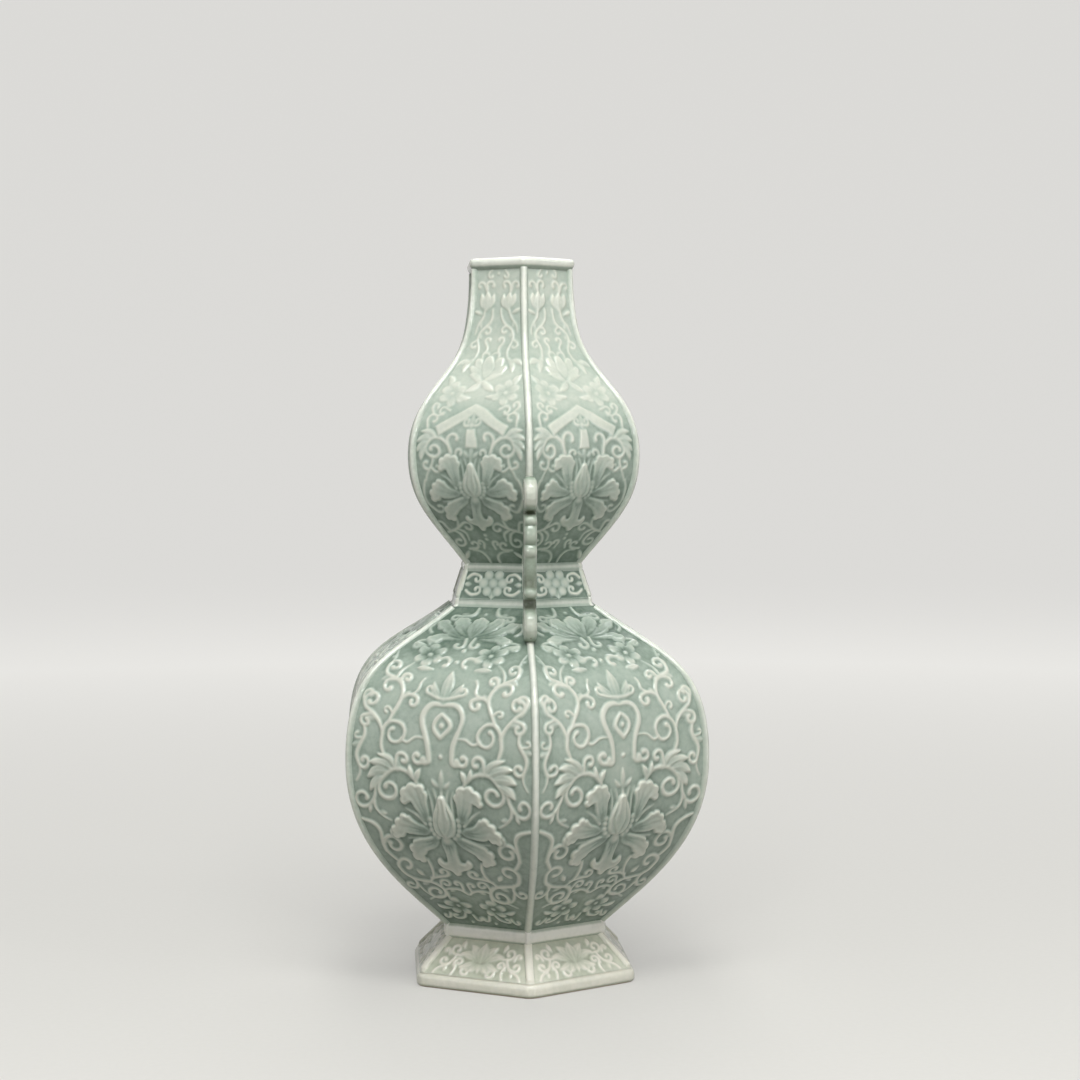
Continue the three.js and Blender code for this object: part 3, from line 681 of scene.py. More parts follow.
def frond_surface(mark, path, across, up):
    """The same for a petal: dished, with veins that fan out from its root."""
    x, y = across[..., None], up[..., None]
    (x0, y0), (x1, y1) = path[:-1].T, path[1:].T
    away = np.sqrt(((x - x0) ** 2 + (y - y0) ** 2).min(-1))
    crossed = ((y0 > y) != (y1 > y)) & (x < x0 + (y - y0) * (x1 - x0) / np.where(y1 == y0, 1, y1 - y0))
    inset = np.where(crossed.sum(-1) % 2, away, -away)
    reach = np.hypot(across - path[0, 0], up - path[0, 1])
    fan = np.arctan2(up - path[0, 1], across - path[0, 0])
    along = mark["base"] + (1 - mark["base"]) * smoothstep(reach / np.hypot(*(path - path[0]).T).max())
    rim = np.exp(-(inset / RIM_REACH) ** 2)
    crest = mark["high"] * along * (DISH_HIGH + DISH_RIM * rim)
    crest += VEIN_HIGH * np.cos(mark["veins"] * fan) * (1 - rim)
    return inset, crest, along


def carving(strokes, half_width, length):
    """Height of a face's relief, and how thin its glaze lies, on a grid over the face's right half."""
    u = np.arange(0, half_width + PITCH, PITCH, np.float32)
    v = np.arange(0, length + PITCH, PITCH, np.float32)
    high = np.zeros((len(v), len(u)), np.float32)
    paling = np.zeros_like(high)
    for mark in sum(strokes, []):
        path = mark["path"].astype(np.float32)
        margin = mark["half"].max() + GROOVE_WIDE + EDGE_SOFT
        low = np.maximum((path.min(0) - margin) / PITCH, 0).astype(int)
        top = np.maximum((path.max(0) + margin) / PITCH + 2, 0).astype(int)
        window = np.s_[low[1]:top[1], low[0]:top[0]]
        across, up = np.meshgrid(u[low[0]:top[0]], v[low[1]:top[1]])
        if not across.size:
            continue
        surface = line_surface if "crown" in mark else frond_surface
        inset, crest, along = surface(mark, path, across, up)
        inside = smoothstep(0.5 + inset / EDGE_SOFT)
        around = smoothstep(1 + inset / GROOVE_WIDE) * (1 - inside)
        under = high[window] * (1 - mark["groove"] * around)
        if not mark["groove"]:
            crest = np.maximum(crest, under)
        high[window] = under + (crest - under) * inside
        paling[window] += (PALING * (along ** 2 - PALING_SINK) - paling[window]) * inside
    high = blurred(high, CUT_SOFT)
    crest = np.minimum(high, LINE_HIGH)
    pale = LINE_PALE * crest + EDGE_PALE * (high - blurred(high, EDGE_REACH))
    for reach, share in STANDING_PALE:
        pale += share * (crest - blurred(crest, reach))
    thin = GROUND_LIE + pale / LINE_HIGH + blurred(paling, PALING_SOFT)
    return dict(high=high, thin=thin)


def sampled(grid, u, v):
    """Values of a face's grid at points of the face, the same on both sides of its middle line."""
    last_row, last_column = np.array(grid.shape) - GRID_END
    x = np.clip(np.abs(u) / PITCH, 0, last_column)
    y = np.clip(v / PITCH, 0, last_row)
    i, j = y.astype(int), x.astype(int)
    s, t = y - i, x - j
    lower = grid[i, j] * (1 - t) + grid[i, j + 1] * t
    upper = grid[i + 1, j] * (1 - t) + grid[i + 1, j + 1] * t
    return lower * (1 - s) + upper * s


def hand_drift(seed, u, v):
    """How far the carver's hand strayed from the drawn pattern, slowly varying over a face."""
    rng = np.random.default_rng(seed)
    drift = []
    for _ in range(2):
        total = np.zeros(np.broadcast(u, v).shape)
        for reach in HAND_REACHES:
            tilt, phase = rng.uniform(0, 2 * math.pi, 2)
            total += np.sin((u * math.cos(tilt) + v * math.sin(tilt)) * 2 * math.pi / reach + phase)
        drift.append(HAND_DRIFT * total / 2)
    return drift


# Materials

def linear(code):
    """A colour written as sRGB hex, as the linear values that shaders take."""
    parts = [int(code[i:i + 2], 16) / 255 for i in (1, 3, 5)]
    return (*[c / 12.92 if c <= 0.04045 else ((c + 0.055) / 1.055) ** 2.4 for c in parts], 1)


def per_metre(size):
    """The scale of a pattern whose cells have the given size in millimetres."""
    return 1 / (size * MM)


def add(tree, kind, inputs, **settings):
    """Adds a shader node. An input that is a socket is linked, and any other is set."""
    made = tree.nodes.new("ShaderNode" + kind)
    for name, value in settings.items():
        setattr(made, name, value)
    for name, value in inputs.items():
        if isinstance(value, bpy.types.NodeSocket):
            tree.links.new(value, made.inputs[name])
        else:
            made.inputs[name].default_value = value
    return made


def blank_material(name):
    """A material with no nodes yet, and its tree."""
    material = bpy.data.materials.new(name)
    material.use_nodes = True
    material.node_tree.nodes.clear()
    return material, material.node_tree


def glaze_material(name, pooled, body, thin, roughness):
    """Celadon over white porcelain: green where it lies thick, pale where it ran thin off an edge,
    with slow clouding, fine mottling, a faint orange-peel gloss and a few iron specks."""
    material, tree = blank_material(name)
    place = add(tree, "TexCoord", {}).outputs["Object"]
    lie = add(tree, "Attribute", {}, attribute_name="glaze_thin").outputs["Fac"]
    cloud = add(tree, "TexNoise", {"Vector": place, "Scale": per_metre(CLOUD_SIZE), "Detail": 4}).outputs[0]
    mottle = add(tree, "TexNoise", {"Vector": place, "Scale": per_metre(MOTTLE_SIZE), "Detail": 4}).outputs[0]
    depth = lie
    for pattern, share in ((cloud, CLOUDING), (mottle, MOTTLING)):
        change = add(tree, "Math", {0: pattern, 1: share, 2: -share / 2}, operation="MULTIPLY_ADD").outputs[0]
        depth = add(tree, "Math", {0: depth, 1: change}, operation="ADD").outputs[0]
    low = add(tree, "MapRange", {"Value": depth, "From Min": POOLED, "From Max": EVEN}).outputs[0]
    high = add(tree, "MapRange", {"Value": depth, "From Min": EVEN, "From Max": 1}).outputs[0]
    green = add(tree, "Mix", {0: low, 6: linear(pooled), 7: linear(body)}, data_type="RGBA").outputs[2]
    coat = add(tree, "Mix", {0: high, 6: green, 7: linear(thin)}, data_type="RGBA").outputs[2]
    cells = add(tree, "TexVoronoi", {"Vector": place, "Scale": per_metre(SPECKS_APART), "Randomness": 1})
    near = cells.outputs["Distance"]
    speck = add(tree, "Math", {0: near, 1: SPECK_SIZE / SPECKS_APART}, operation="LESS_THAN")
    rare = add(tree, "SeparateColor", {0: cells.outputs["Color"]}).outputs[0]
    chosen = add(tree, "Math", {0: rare, 1: SPECKED}, operation="LESS_THAN").outputs[0]
    spot = add(tree, "Math", {0: speck.outputs[0], 1: chosen}, operation="MULTIPLY").outputs[0]
    faint = add(tree, "Math", {0: spot, 1: SPECK_DARK}, operation="MULTIPLY").outputs[0]
    colour = add(tree, "Mix", {0: faint, 6: coat, 7: linear("#6E5A42")}, data_type="RGBA").outputs[2]
    peel = add(tree, "TexNoise", {"Vector": place, "Scale": per_metre(PEEL_SIZE), "Detail": 2}).outputs[0]
    gloss = add(tree, "MapRange", {"Value": cloud, "To Min": roughness - GLOSS_MORE,
                                   "To Max": roughness + GLOSS_LESS})
    bump = add(tree, "Bump", {"Height": peel, "Strength": PEEL_STRENGTH, "Distance": PEEL_DEPTH * MM})
    shader = add(tree, "BsdfPrincipled",
                 {"Base Color": colour, "Roughness": gloss.outputs[0], "IOR": CERAMIC_IOR,
                  "Normal": bump.outputs[0], "Subsurface Weight": 0.3, "Subsurface Radius": (1, 1, 0.9),
                  "Subsurface Scale": LIGHT_DEPTH * MM})
    add(tree, "OutputMaterial", {"Surface": shader.outputs[0]})
    return material


def biscuit_material():
    """Bare high-fired porcelain on the foot's tread: matt, fine-grained, burnt to a warm brown in patches."""
    material, tree = blank_material("bare_porcelain_biscuit")
    place = add(tree, "TexCoord", {}).outputs["Object"]
    grain = add(tree, "TexNoise", {"Vector": place, "Scale": per_metre(GRAIN_SIZE), "Detail": 4}).outputs[0]
    burn = add(tree, "TexNoise", {"Vector": place, "Scale": per_metre(BURN_SIZE), "Detail": 3}).outputs[0]
    colour = add(tree, "Mix", {0: burn, 6: linear("#A98A68"), 7: linear("#D8CBB6")}, data_type="RGBA")
    bump = add(tree, "Bump", {"Height": grain, "Strength": GRAIN_STRENGTH, "Distance": GRAIN_DEPTH * MM})
    rough = add(tree, "MapRange", {"Value": grain, "To Min": 0.6, "To Max": 0.8}).outputs[0]
    shader = add(tree, "BsdfPrincipled", {"Base Color": colour.outputs[2], "Roughness": rough,
                                          "IOR": CERAMIC_IOR, "Normal": bump.outputs[0]})
    add(tree, "OutputMaterial", {"Surface": shader.outputs[0]})
    return material


def backdrop_material():
    """Seamless studio paper: pale, matt and even, with hardly any tooth. It throws little light back."""
    material, tree = blank_material("studio_paper")
    place = add(tree, "TexCoord", {}).outputs["Object"]
    tooth = add(tree, "TexNoise", {"Vector": place, "Scale": per_metre(PAPER_TOOTH), "Detail": 3}).outputs[0]
    colour = add(tree, "Mix", {0: tooth, 6: linear("#96958F"), 7: linear("#9C9B96")}, data_type="RGBA")
    away = add(tree, "VectorMath", {0: place}, operation="LENGTH").outputs["Value"]
    even = add(tree, "MapRange", {"Value": away, "From Min": PAPER_NEAR, "From Max": PAPER_FAR,
                                  "To Min": PAPER_GLOW, "To Max": FAR_PAPER_GLOW}).outputs[0]
    ray = add(tree, "LightPath", {}).outputs
    seen = ray["Is Camera Ray"]
    for kind in ("Is Glossy Ray", "Is Transmission Ray"):
        seen = add(tree, "Math", {0: seen, 1: ray[kind]}, operation="MAXIMUM").outputs[0]
    glow = add(tree, "Math", {0: seen, 1: even}, operation="MULTIPLY").outputs[0]
    shader = add(tree, "BsdfPrincipled",
                 {"Base Color": colour.outputs[2], "Roughness": 0.9, "Specular IOR Level": 0.1,
                  "Emission Color": linear("#F4F3F0"), "Emission Strength": glow})
    add(tree, "OutputMaterial", {"Surface": shader.outputs[0]})
    return material


# Glaze colours where it pools, where it lies even and where it has run thin
celadon = glaze_material("celadon_glaze_on_carving", "#66796B", "#A8B6A9", "#D4D7CA", 0.22)
thin_glaze = glaze_material("celadon_glaze_run_thin", "#7F9083", "#ADB9AC", "#E2E5DA", 0.13)
# The band's glaze is paler than the thin glaze as painted light, for the light that the belly keeps off it.
band_glaze_painted_light = glaze_material("celadon_glaze_on_band_painted_light", "#8E9A86", "#C6CDBE", "#FBF9F0", 0.13)
# The foot's glaze is warmer, which is its own colour, and paler as painted light, for the light that the
# belly keeps off the foot.
foot_glaze_warm_painted_light = glaze_material("celadon_glaze_on_foot_painted_light", "#93957D", "#CDD2BF", "#F6F3E6", 0.2)
handle_glaze = glaze_material("celadon_glaze_on_handle", "#57604D", "#9FAD9C", "#E2E3D7", 0.08)
biscuit = biscuit_material()


# Pieces

def add_piece(name, points, faces, thin, material, slot, *nodes, bare=None):
    """A mesh piece that stands for CAD nodes, with its glaze's thinness at each point."""
    mesh = bpy.data.meshes.new(name)
    mesh.from_pydata((np.asarray(points).reshape(-1, 3) * MM).tolist(), [], faces)
    lie = mesh.attributes.new("glaze_thin", "FLOAT", "POINT")
    lie.data.foreach_set("value", np.asarray(thin, np.float32).ravel())
    mesh.materials.append(material)
    if bare is not None:
        mesh.materials.append(biscuit)
        mesh.polygons.foreach_set("material_index", bare.astype(np.int32))
    mesh.shade_smooth()
    mesh.set_sharp_from_angle(angle=math.radians(SHARP_EDGE))
    piece = bpy.data.objects.new(name, mesh)
    bpy.context.scene.collection.objects.link(piece)
    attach(piece, "root")
    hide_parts(*nodes)


def turned(points, angle):
    """Points turned about the vase's axis."""
    x, y, z = np.moveaxis(points, -1, 0)
    along, aside = math.cos(angle), math.sin(angle)
    return np.stack([x * along - y * aside, x * aside + y * along, z], -1)


def point_grid(rows, columns, start=0):
    """The numbers of a piece's points, laid out in rows and columns."""
    return start + np.arange(rows * columns).reshape(rows, columns)


def grid_faces(grid):
    """Quads of a grid of points, facing outward when its columns run to the left round the vase and its
    rows run up."""
    return np.stack([grid[:-1, :-1], grid[:-1, 1:], grid[1:, 1:], grid[1:, :-1]], -1).reshape(-1, 4)


def outward(profile):
    """Unit normals of a profile of (distance, level) points that runs upward on the outside."""
    ahead = np.gradient(profile, axis=0)
    normals = np.stack([ahead[:, 1], -ahead[:, 0]], -1)
    return normals / np.hypot(*normals.T)[:, None]


def wall_profile(node):
    """The smooth outer profile of a bulb, through the rows of points of its right-hand panel."""
    points = np.array([vertex.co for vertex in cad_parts[node].data.vertices]) / MM
    levels = points[:, 2].round(2)
    rows = []
    for level in np.unique(levels):
        distances = points[levels == level, 0]
        if np.ptp(distances) > RIB_PROUD:
            rows.append((distances.max(), level))
    return spline(rows, WALL_STEP)


def carved_wall(course, side, angle, profile, relief, deep, run, seed):
    """One mitred slab of a bulb: carved in front, smooth behind."""
    columns = math.ceil(2 * profile[:, 0].max() * HALF_FACE / WALL_STEP)
    normals = outward(profile)
    across = np.linspace(-1, 1, columns)
    distance, level = profile[:, :1], profile[:, 1:]
    half = distance * HALF_FACE
    u = half * across
    v = travelled(profile)[:, None] + 0 * across
    stray_u, stray_v = hand_drift(seed, u, v)
    # The lie and crispness by height paint shade low on the bulbs and under the waist, and sheen on the upper
    # shoulder and neck.
    shares, lie, crisp = np.transpose(run)
    lie = np.interp(v / v.max(), shares, lie)
    crisp = np.interp(v / v.max(), shares, crisp)
    high = deep * sampled(relief["high"], u + stray_u, v + stray_v) - GROUND_DEPTH + HAND_WAVE * stray_u
    from_edge = np.minimum(half - np.abs(u) - RIB_HALF, np.minimum(v, v.max() - v))
    gather = np.exp(-np.maximum(from_edge, 0) / GATHER_REACH)
    thin = lie + crisp * sampled(relief["thin"], u + stray_u, v + stray_v) - GATHER * gather
    front = np.stack([distance + high * normals[:, :1], u, level + high * normals[:, 1:]], -1)
    inner = profile - WALL * normals
    inner[:, 1] = np.clip(inner[:, 1], profile[0, 1], profile[-1, 1])
    inner_half = inner[:, 0] * HALF_FACE
    back = np.stack([np.stack([inner[:, 0], end * inner_half, inner[:, 1]], -1) for end in (-1, 1)], 1)
    rows = len(profile)
    face = point_grid(rows, columns)
    behind = point_grid(rows, 2, face.size)
    left, right, back_left, back_right = face[:, 0], face[:, -1], behind[:, 0], behind[:, 1]
    faces = np.concatenate([
        grid_faces(face),
        grid_faces(behind)[:, ::-1],
        np.stack([left[:-1], left[1:], back_left[1:], back_left[:-1]], -1),
        np.stack([right[:-1], back_right[:-1], back_right[1:], right[1:]], -1),
    ]).tolist()
    faces.append([*face[-1].tolist(), *behind[-1, ::-1].tolist()])
    faces.append([*behind[0].tolist(), *face[0, ::-1].tolist()])
    points = np.concatenate([front.reshape(-1, 3), back.reshape(-1, 3)])
    thin = np.concatenate([thin.ravel(), np.full(behind.size, BACK_LIE)])
    add_piece(f"carved_{course}_wall_{side}", turned(points, angle), faces, thin, celadon, "celadon_glaze",
              f"{course}_panel_{side}")


def corner_rib(course, corner, angle, profile):
    """A bead down one corner of a bulb, rounded like a rod and sunk between the two walls."""
    corner_profile = profile[::RIB_ROWS_APART] / [math.cos(HALF_TURN), 1]
    normals = outward(corner_profile)
    swing = np.radians(np.linspace(-RIB_SPREAD, RIB_SPREAD, RIB_COLUMNS))
    wave = 1 + RIB_WAVE * np.sin(corner_profile[:, 1:] / RIB_WAVE_LONG + angle)
    lift = RIB_PROUD - (1 - np.cos(swing)) * RIB_DEPTH
    distance = corner_profile[:, :1] + lift * normals[:, :1]
    level = corner_profile[:, 1:] + lift * normals[:, 1:]
    points = np.stack([distance, RIB_HALF * wave * np.sin(swing), level], -1)
    rod = point_grid(len(corner_profile), RIB_COLUMNS)
    faces = np.concatenate([grid_faces(rod), grid_faces(rod[:, [-1, 0]])]).tolist()
    faces.append(rod[-1].tolist())
    faces.append(rod[0, ::-1].tolist())
    thin = np.broadcast_to(RIB_PALE * np.cos(swing / RIB_PALE_REACH) ** 4, points.shape[:2])
    add_piece(f"{course}_corner_bead_{corner}", turned(points, angle), faces, thin, thin_glaze, "thin_glaze",
              f"{course}_rib_{corner}")


def rounded(corners, step):
    """A closed profile through (distance, level, radius) corners, each softened, in steps of a given length
    where it rises on the outside, and in long ones on its flat top, back and underside."""
    path = []
    count = len(corners)
    for i, (distance, level, radius) in enumerate(corners):
        here = np.array([distance, level], float)
        before = np.array(corners[i - 1][:2]) - here
        after = np.array(corners[(i + 1) % count][:2]) - here
        start = here + before / np.hypot(*before) * radius
        end = here + after / np.hypot(*after) * radius
        for t in np.linspace(0, 1, BEND_POINTS if radius else 1):
            path.append((1 - t) ** 2 * start + 2 * t * (1 - t) * here + t * t * end)
    path.append(path[0])
    fine = [path[0]]
    for a, b in zip(path, path[1:]):
        stride = step if b[1] > a[1] else HIDDEN_STEP
        cuts = max(1, math.ceil(np.hypot(*(b - a)) / stride))
        fine += [a + (b - a) * k / cuts for k in range(1, cuts + 1)]
    return np.array(fine[:-1])


def swept_ring(name, node, profile, material, slot, relief=None, face_start=0, proud=0, bare_level=None,
               pale=0.4, corner=CORNER_SOFT, lie=0.0, deep=1.0, crisp=1.0, rib=COURSE_RIB_HALF,
               free_top=False):
    """A closed profile swept round a hexagon with softened corners, ribbed and carved on its outer face if
    asked. Its glaze is pale where it stands proud, and also on top where nothing stands on it."""
    face_columns = math.ceil(2 * profile[:, 0].max() * HALF_FACE / FACE_STEP)
    along = np.r_[np.linspace(-1, 1, face_columns), np.ones(CORNER_COLUMNS)]
    swing = np.r_[np.zeros(face_columns), np.linspace(0, TURN, CORNER_COLUMNS + 2)[1:-1]]
    closed = np.r_[profile[-1:], profile, profile[:1]]
    normals = outward(closed)[1:-1]
    core = profile[:, :1] - corner
    u = along * core * HALF_FACE
    from_corner = (1 - np.abs(along)) * core * HALF_FACE + corner * np.abs(HALF_TURN - swing)
    facing = normals[:, :1] > FACING
    high = np.zeros(u.shape)
    crest = profile[:, 1] - profile[:, 1].min()
    if not free_top:
        crest = np.minimum(crest, profile[:, 1].max() - profile[:, 1])
    thin = pale * smoothstep((crest - OVERLAP) / PALE_RISE)[:, None] + 0 * u
    if relief:
        v = travelled(profile)[:, None] - face_start + 0 * u
        length = (relief["high"].shape[0] - 1) * PITCH
        on_face = (v > 0) & (v < length) & facing
        edge = smoothstep(np.minimum(v, length - v) / PANEL_EDGE)
        facing = on_face
        high = np.where(on_face, (deep * sampled(relief["high"], u, v) - GROUND_DEPTH) * edge, 0)
        gather = smoothstep(1 - from_corner / GATHER_REACH) * COURSE_GATHER
        thin = np.where(on_face, crisp * sampled(relief["thin"], u, v) + lie - gather, thin)
    if proud:
        bead = np.sqrt(np.clip(1 - (from_corner / rib) ** 2, 0, 1))
        if relief:
            bead *= smoothstep(v / rib)
        on_rib = facing & (bead > 0)
        rise = (proud + COURSE_RIB_SEAT) * bead - COURSE_RIB_SEAT
        high = np.where(on_rib, np.maximum(high, rise), high)
        thin = np.where(on_rib, np.maximum(thin, COURSE_RIB_PALE + (1 - COURSE_RIB_PALE) * bead), thin)
    x = core + high * normals[:, :1] + corner * np.cos(swing)
    y = u + corner * np.sin(swing)
    z = profile[:, 1:] + high * normals[:, 1:]
    side = np.stack([x, y, z], -1)
    points = np.concatenate([turned(side, k * TURN) for k in range(len(SIDES))], 1)
    faces = grid_faces(np.pad(point_grid(*points.shape[:2]), (0, 1), mode="wrap"))
    thin = np.tile(thin, (1, len(SIDES)))
    bare = None
    if bare_level is not None:
        bare = points.reshape(-1, 3)[faces][:, :, 2].max(1) < bare_level
    add_piece(name, points, faces.tolist(), thin, material, slot, node, bare=bare)


def flat_span(node):
    """A course's distance from the axis to its flat face, its lowest and its highest level."""
    low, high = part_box(node)
    return high.x / MM, low.z / MM, high.z / MM


def face_distance(node, level):
    """How far a course's flat face stands from the axis at one level."""
    points = np.array([vertex.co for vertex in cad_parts[node].data.vertices]) / MM
    return points[np.abs(points[:, 2] - level) < LEVEL_NEAR, 0].max()


def moulding(name, node, inner, below, above, soft, pale, glaze):
    """A hexagonal moulding with rounded edges, which runs out onto the faces of the courses below and
    above."""
    out, low, high = flat_span(node)
    corners = [(inner - WALL, low - OVERLAP, 0), (below, low - OVERLAP, 0), (out, low + soft / 2, soft),
               (out, high - soft / 2, soft), (above - GROUND_DEPTH, high + OVERLAP, 0),
               (inner - WALL, high + OVERLAP, 0)]
    swept_ring(name, node, rounded(corners, FACE_STEP), glaze, "thin_glaze", proud=MOULDING_RIB_PROUD,
               pale=pale)


# Walls and corner beads of the two bulbs
lower_profile = wall_profile("lower_panel_right")
upper_profile = wall_profile("upper_panel_right")
upper_profile[:, 0] -= NECK_WAIST * np.exp(-((upper_profile[:, 1] - NECK_LEVEL) / NECK_REACH) ** 2)
COURSES = [
    ("lower", lower_profile, LOWER_CARVING, LOWER_DEEP, LOWER_RUN_AND_PAINTED_SHADE),
    ("upper", upper_profile, UPPER_CARVING, UPPER_DEEP, UPPER_RUN_SHADE_AND_SHEEN),
]
for course, profile, strokes, deep, run in COURSES:
    relief = carving(strokes, profile[:, 0].max() * HALF_FACE, travelled(profile)[-1])
    for k, side in enumerate(SIDES):
        seed = len(course) + 10 * k + len(strokes)
        carved_wall(course, side, k * TURN, profile, relief, deep, run, seed)
    for k, corner in enumerate(CORNERS):
        corner_rib(course, corner, (k + 0.5) * TURN, profile)

# Mouldings between the courses
collar_base, collar_low, collar_high = flat_span("waist_collar")
collar_top = face_distance("waist_collar", collar_high)
foot_out, foot_low, foot_high = flat_span("foot_ring")
foot_top = face_distance("foot_ring", foot_high)
lower_base, lower_top = lower_profile[[0, -1], 0]
upper_base, upper_top = upper_profile[[0, -1], 0]
# The band's paler glaze is painted light.
moulding("band_over_the_foot", "foot_band", lower_base, foot_top, lower_base, BAND_SOFT,
         BAND_PALE, band_glaze_painted_light)
moulding("fillet_under_the_collar", "waist_fillet_lower", lower_top, lower_top, collar_base, FILLET_SOFT,
         FILLET_PALE, thin_glaze)
moulding("fillet_over_the_collar", "waist_fillet_upper", upper_base, collar_top, upper_base, FILLET_SOFT,
         FILLET_PALE, thin_glaze)

# Collar
collar_corners = [(collar_top - WALL, collar_low, 0), (collar_base, collar_low, 0),
                  (collar_top, collar_high, 0), (collar_top - WALL, collar_high, 0)]
collar_start = collar_base - collar_top + WALL
collar_length = math.hypot(collar_base - collar_top, collar_high - collar_low)
# The collar's glaze is darkened here as painted shade.
swept_ring("carved_waist_collar", "waist_collar", rounded(collar_corners, FACE_STEP), celadon,
           "celadon_glaze", carving(COLLAR_CARVING, collar_base * HALF_FACE, collar_length), collar_start,
           COURSE_RIB_PROUD, lie=COLLAR_PAINTED_SHADE, deep=COLLAR_DEEP, crisp=COLLAR_CRISP)

# Foot
panel_base = (foot_out - FOOT_STEP, foot_low + FOOT_RIM + FOOT_LEDGE)
panel_top = (foot_top, foot_high + OVERLAP)
foot_corners = [(foot_out - FOOT_TREAD, foot_low, FOOT_EDGE), (foot_out, foot_low, RIM_UNDER),
                (foot_out, foot_low + FOOT_RIM, RIM_OVER), (*panel_base, 0), (*panel_top, 0),
                (foot_top - FOOT_WALL, foot_high + OVERLAP, 0)]
foot_profile = rounded(foot_corners, FOOT_ROW)
panel_start = travelled(foot_profile)[np.hypot(*(foot_profile - panel_base).T).argmin()]
panel_relief = carving(FOOT_CARVING, foot_out * HALF_FACE, math.dist(panel_base, panel_top))
over_rim = smoothstep((foot_profile[:, 1:] - foot_low) / FOOT_RIM - 0.5)
foot_rounding = RIM_CORNER + (FOOT_CORNER - RIM_CORNER) * over_rim
# The foot's paler glaze is partly painted light.
swept_ring("carved_foot", "foot_ring", foot_profile, foot_glaze_warm_painted_light, "celadon_glaze", panel_relief, panel_start,
           FOOT_RIB_PROUD, BARE_LEVEL, pale=FOOT_PALE, corner=foot_rounding, lie=FOOT_LIE, rib=FOOT_RIB_HALF)

# Lip
lip_out, lip_low, lip_high = flat_span("lip_ring")
lip_inner = upper_top - WALL
lip_corners = [(lip_inner, lip_low - OVERLAP, 0), (lip_out - LIP_UNDERCUT, lip_low - OVERLAP, 0),
               (lip_out, lip_low + LIP_RISE, LIP_UNDER), (lip_out, lip_high, LIP_SOFT),
               (lip_inner, lip_high, LIP_SOFT)]
swept_ring("rolled_lip", "lip_ring", rounded(lip_corners, FACE_STEP), thin_glaze, "thin_glaze",
           pale=LIP_PALE, corner=LIP_CORNER, free_top=True)

# Floor inside the band
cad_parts["floor_slab"].data.materials.clear()
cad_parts["floor_slab"].data.materials.append(celadon)


def scrolled_handle(end, outward_y):
    """A strap handle: the CAD solid with even points and softened edges, a scroll cut into each side, and
    glaze that gathers green in its hollows."""
    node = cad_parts[f"handle_{end}"]
    blank = bpy.data.objects.new("handle_blank", node.data.copy())
    bpy.context.scene.collection.objects.link(blank)
    remesh = blank.modifiers.new("even_points", "REMESH")
    remesh.mode = "VOXEL"
    remesh.voxel_size = HANDLE_VOXEL * MM
    relax = blank.modifiers.new("soft_edges", "SMOOTH")
    relax.iterations = HANDLE_RELAX
    relax.factor = HANDLE_SOFT
    shape = bpy.data.meshes.new_from_object(blank.evaluated_get(bpy.context.evaluated_depsgraph_get()))
    bpy.data.objects.remove(blank)
    points = np.array([vertex.co for vertex in shape.vertices]) / MM
    normals = np.array([vertex.normal for vertex in shape.vertices])
    half = points[:, 0].max()
    crown = HANDLE_CROWN * (1 - (points[:, 0] / half) ** 2)
    points[:, 1:] += (HANDLE_GLAZE + crown)[:, None] * normals[:, 1:]
    out, level = points[:, 1] * outward_y, points[:, 2]
    centres = []
    for near_end in (level > level.max() - 2 * VOLUTE, level < level.min() + 2 * VOLUTE):
        crest = np.flatnonzero(near_end)[out[near_end].argmax()]
        centres.append(np.array([out[crest] - VOLUTE, level[crest]]))
    head, base = centres
    inward = np.array([SCROLL_RADIUS, 0])
    strap = [head - inward, (head * 2 + base) / 3 - inward / 2, (head + base * 2) / 3 - inward / 2,
             base - inward]
    middle = spline(strap, PATH_STEP)
    cuts = np.r_[curled(middle[::-1], SCROLL_RADIUS, -SCROLL_TURN),
                 curled(middle, SCROLL_RADIUS, SCROLL_TURN)][::2]
    away = np.min(np.hypot(out[:, None] - cuts[:, 0], level[:, None] - cuts[:, 1]), axis=1)
    side = smoothstep((np.abs(normals[:, 0]) - SCROLL_SIDE) / SCROLL_SIDE_FADE)
    groove = smoothstep(1 - away / SCROLL_CUT) * side
    points[:, 0] *= 1 - SCROLL_DEPTH * groove
    steps = np.arange(level.min(), level.max() + 1)
    reach = np.array([out[np.abs(level - z) < LEVEL_NEAR].max() for z in steps])
    near = [reach[max(0, k - HOLLOW_REACH):k + HOLLOW_REACH + 1].mean() for k in range(len(reach))]
    swell = np.interp(level, steps, reach - near)
    edge = smoothstep((np.abs(points[:, 0]) / half - HANDLE_EDGE) / HANDLE_EDGE_FADE)
    # The lie by height darkens the glaze under the head volute and about the lower tip as painted shade.
    lie = np.interp((level - level.min()) / np.ptp(level), *np.transpose(HANDLE_RUN_AND_SHADE))
    thin = lie + HANDLE_SWELL_PALE * swell + HANDLE_EDGE_PALE * edge - SCROLL_POOL * groove
    thin = np.clip(thin, POOLED, 1)
    faces = [list(polygon.vertices) for polygon in shape.polygons]
    add_piece(f"scrolled_handle_{end}", points, faces, thin, handle_glaze, "thin_glaze", f"handle_{end}")


scrolled_handle("front", -1)
scrolled_handle("rear", 1)


# Stage

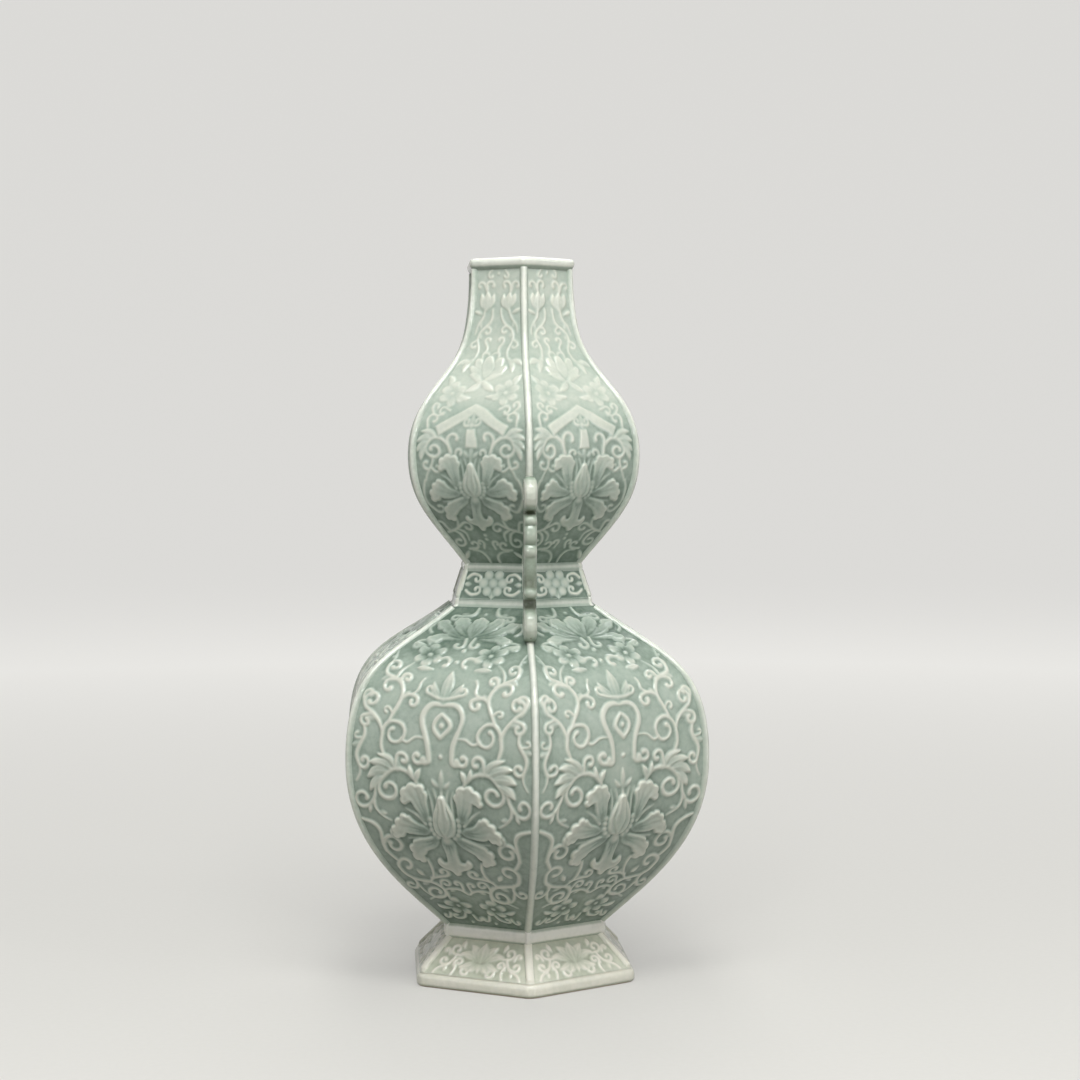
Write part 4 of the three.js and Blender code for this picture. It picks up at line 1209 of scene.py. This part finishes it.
def paper_sweep():
    """A seamless paper floor that curves up all round the vase, like a wide dish."""
    line = []
    for a in np.radians(range(0, 91, PAPER_BEND_STEP)):
        distance = PAPER_REACH - PAPER_BEND + PAPER_BEND * math.sin(a)
        line.append((distance, PAPER_BEND - PAPER_BEND * math.cos(a)))
    line.append((PAPER_REACH, PAPER_HIGH))
    round_about = np.linspace(0, 2 * math.pi, PAPER_COLUMNS, endpoint=False)
    points = [(r * math.cos(a), r * math.sin(a), z) for r, z in line for a in round_about]
    faces = [list(range(PAPER_COLUMNS))]
    for row in range(len(line) - 1):
        here, above = row * PAPER_COLUMNS, (row + 1) * PAPER_COLUMNS
        for k in range(PAPER_COLUMNS):
            after = (k + 1) % PAPER_COLUMNS
            faces.append([here + after, here + k, above + k, above + after])
    mesh = bpy.data.meshes.new("paper_sweep")
    mesh.from_pydata(points, [], faces)
    mesh.shade_smooth()
    mesh.materials.append(backdrop_material())
    sweep = bpy.data.objects.new("paper_sweep", mesh)
    bpy.context.scene.collection.objects.link(sweep)


def softbox(name, place, aim, size, power):
    """A rectangular lamp aimed at a level on the vase's axis."""
    lamp = bpy.data.lights.new(name, "AREA")
    lamp.shape = "RECTANGLE"
    lamp.size, lamp.size_y = size
    lamp.energy = power
    holder = bpy.data.objects.new(name, lamp)
    holder.location = place
    toward = Vector((0, 0, aim)) - Vector(place)
    holder.rotation_euler = toward.to_track_quat("-Z", "Y").to_euler()
    bpy.context.scene.collection.objects.link(holder)


paper_sweep()
for lamp_row in SOFTBOXES:
    softbox(*lamp_row)

world = bpy.data.worlds.new("studio")
bpy.context.scene.world = world
world.use_nodes = True
world.node_tree.nodes.clear()
glow = add(world.node_tree, "Background", {"Color": linear("#F2F3F2"), "Strength": WORLD_GLOW})
add(world.node_tree, "OutputWorld", {"Surface": glow.outputs[0]})

camera = bpy.data.cameras.new("camera")
camera.lens = CAMERA_LENS
camera.sensor_fit = "HORIZONTAL"
viewer = bpy.data.objects.new("camera", camera)
facing = Euler((math.radians(CAMERA_TILT), 0, math.radians(CAMERA_PAN))).to_matrix()
facing = facing @ Matrix.Rotation(math.radians(CAMERA_ROLL), 3, "Z")
viewer.matrix_world = Matrix.Translation(Vector(CAMERA_PLACE) * MM) @ facing.to_4x4()
bpy.context.scene.collection.objects.link(viewer)
bpy.context.scene.camera = viewer
bpy.context.scene.view_settings.view_transform = "Standard"
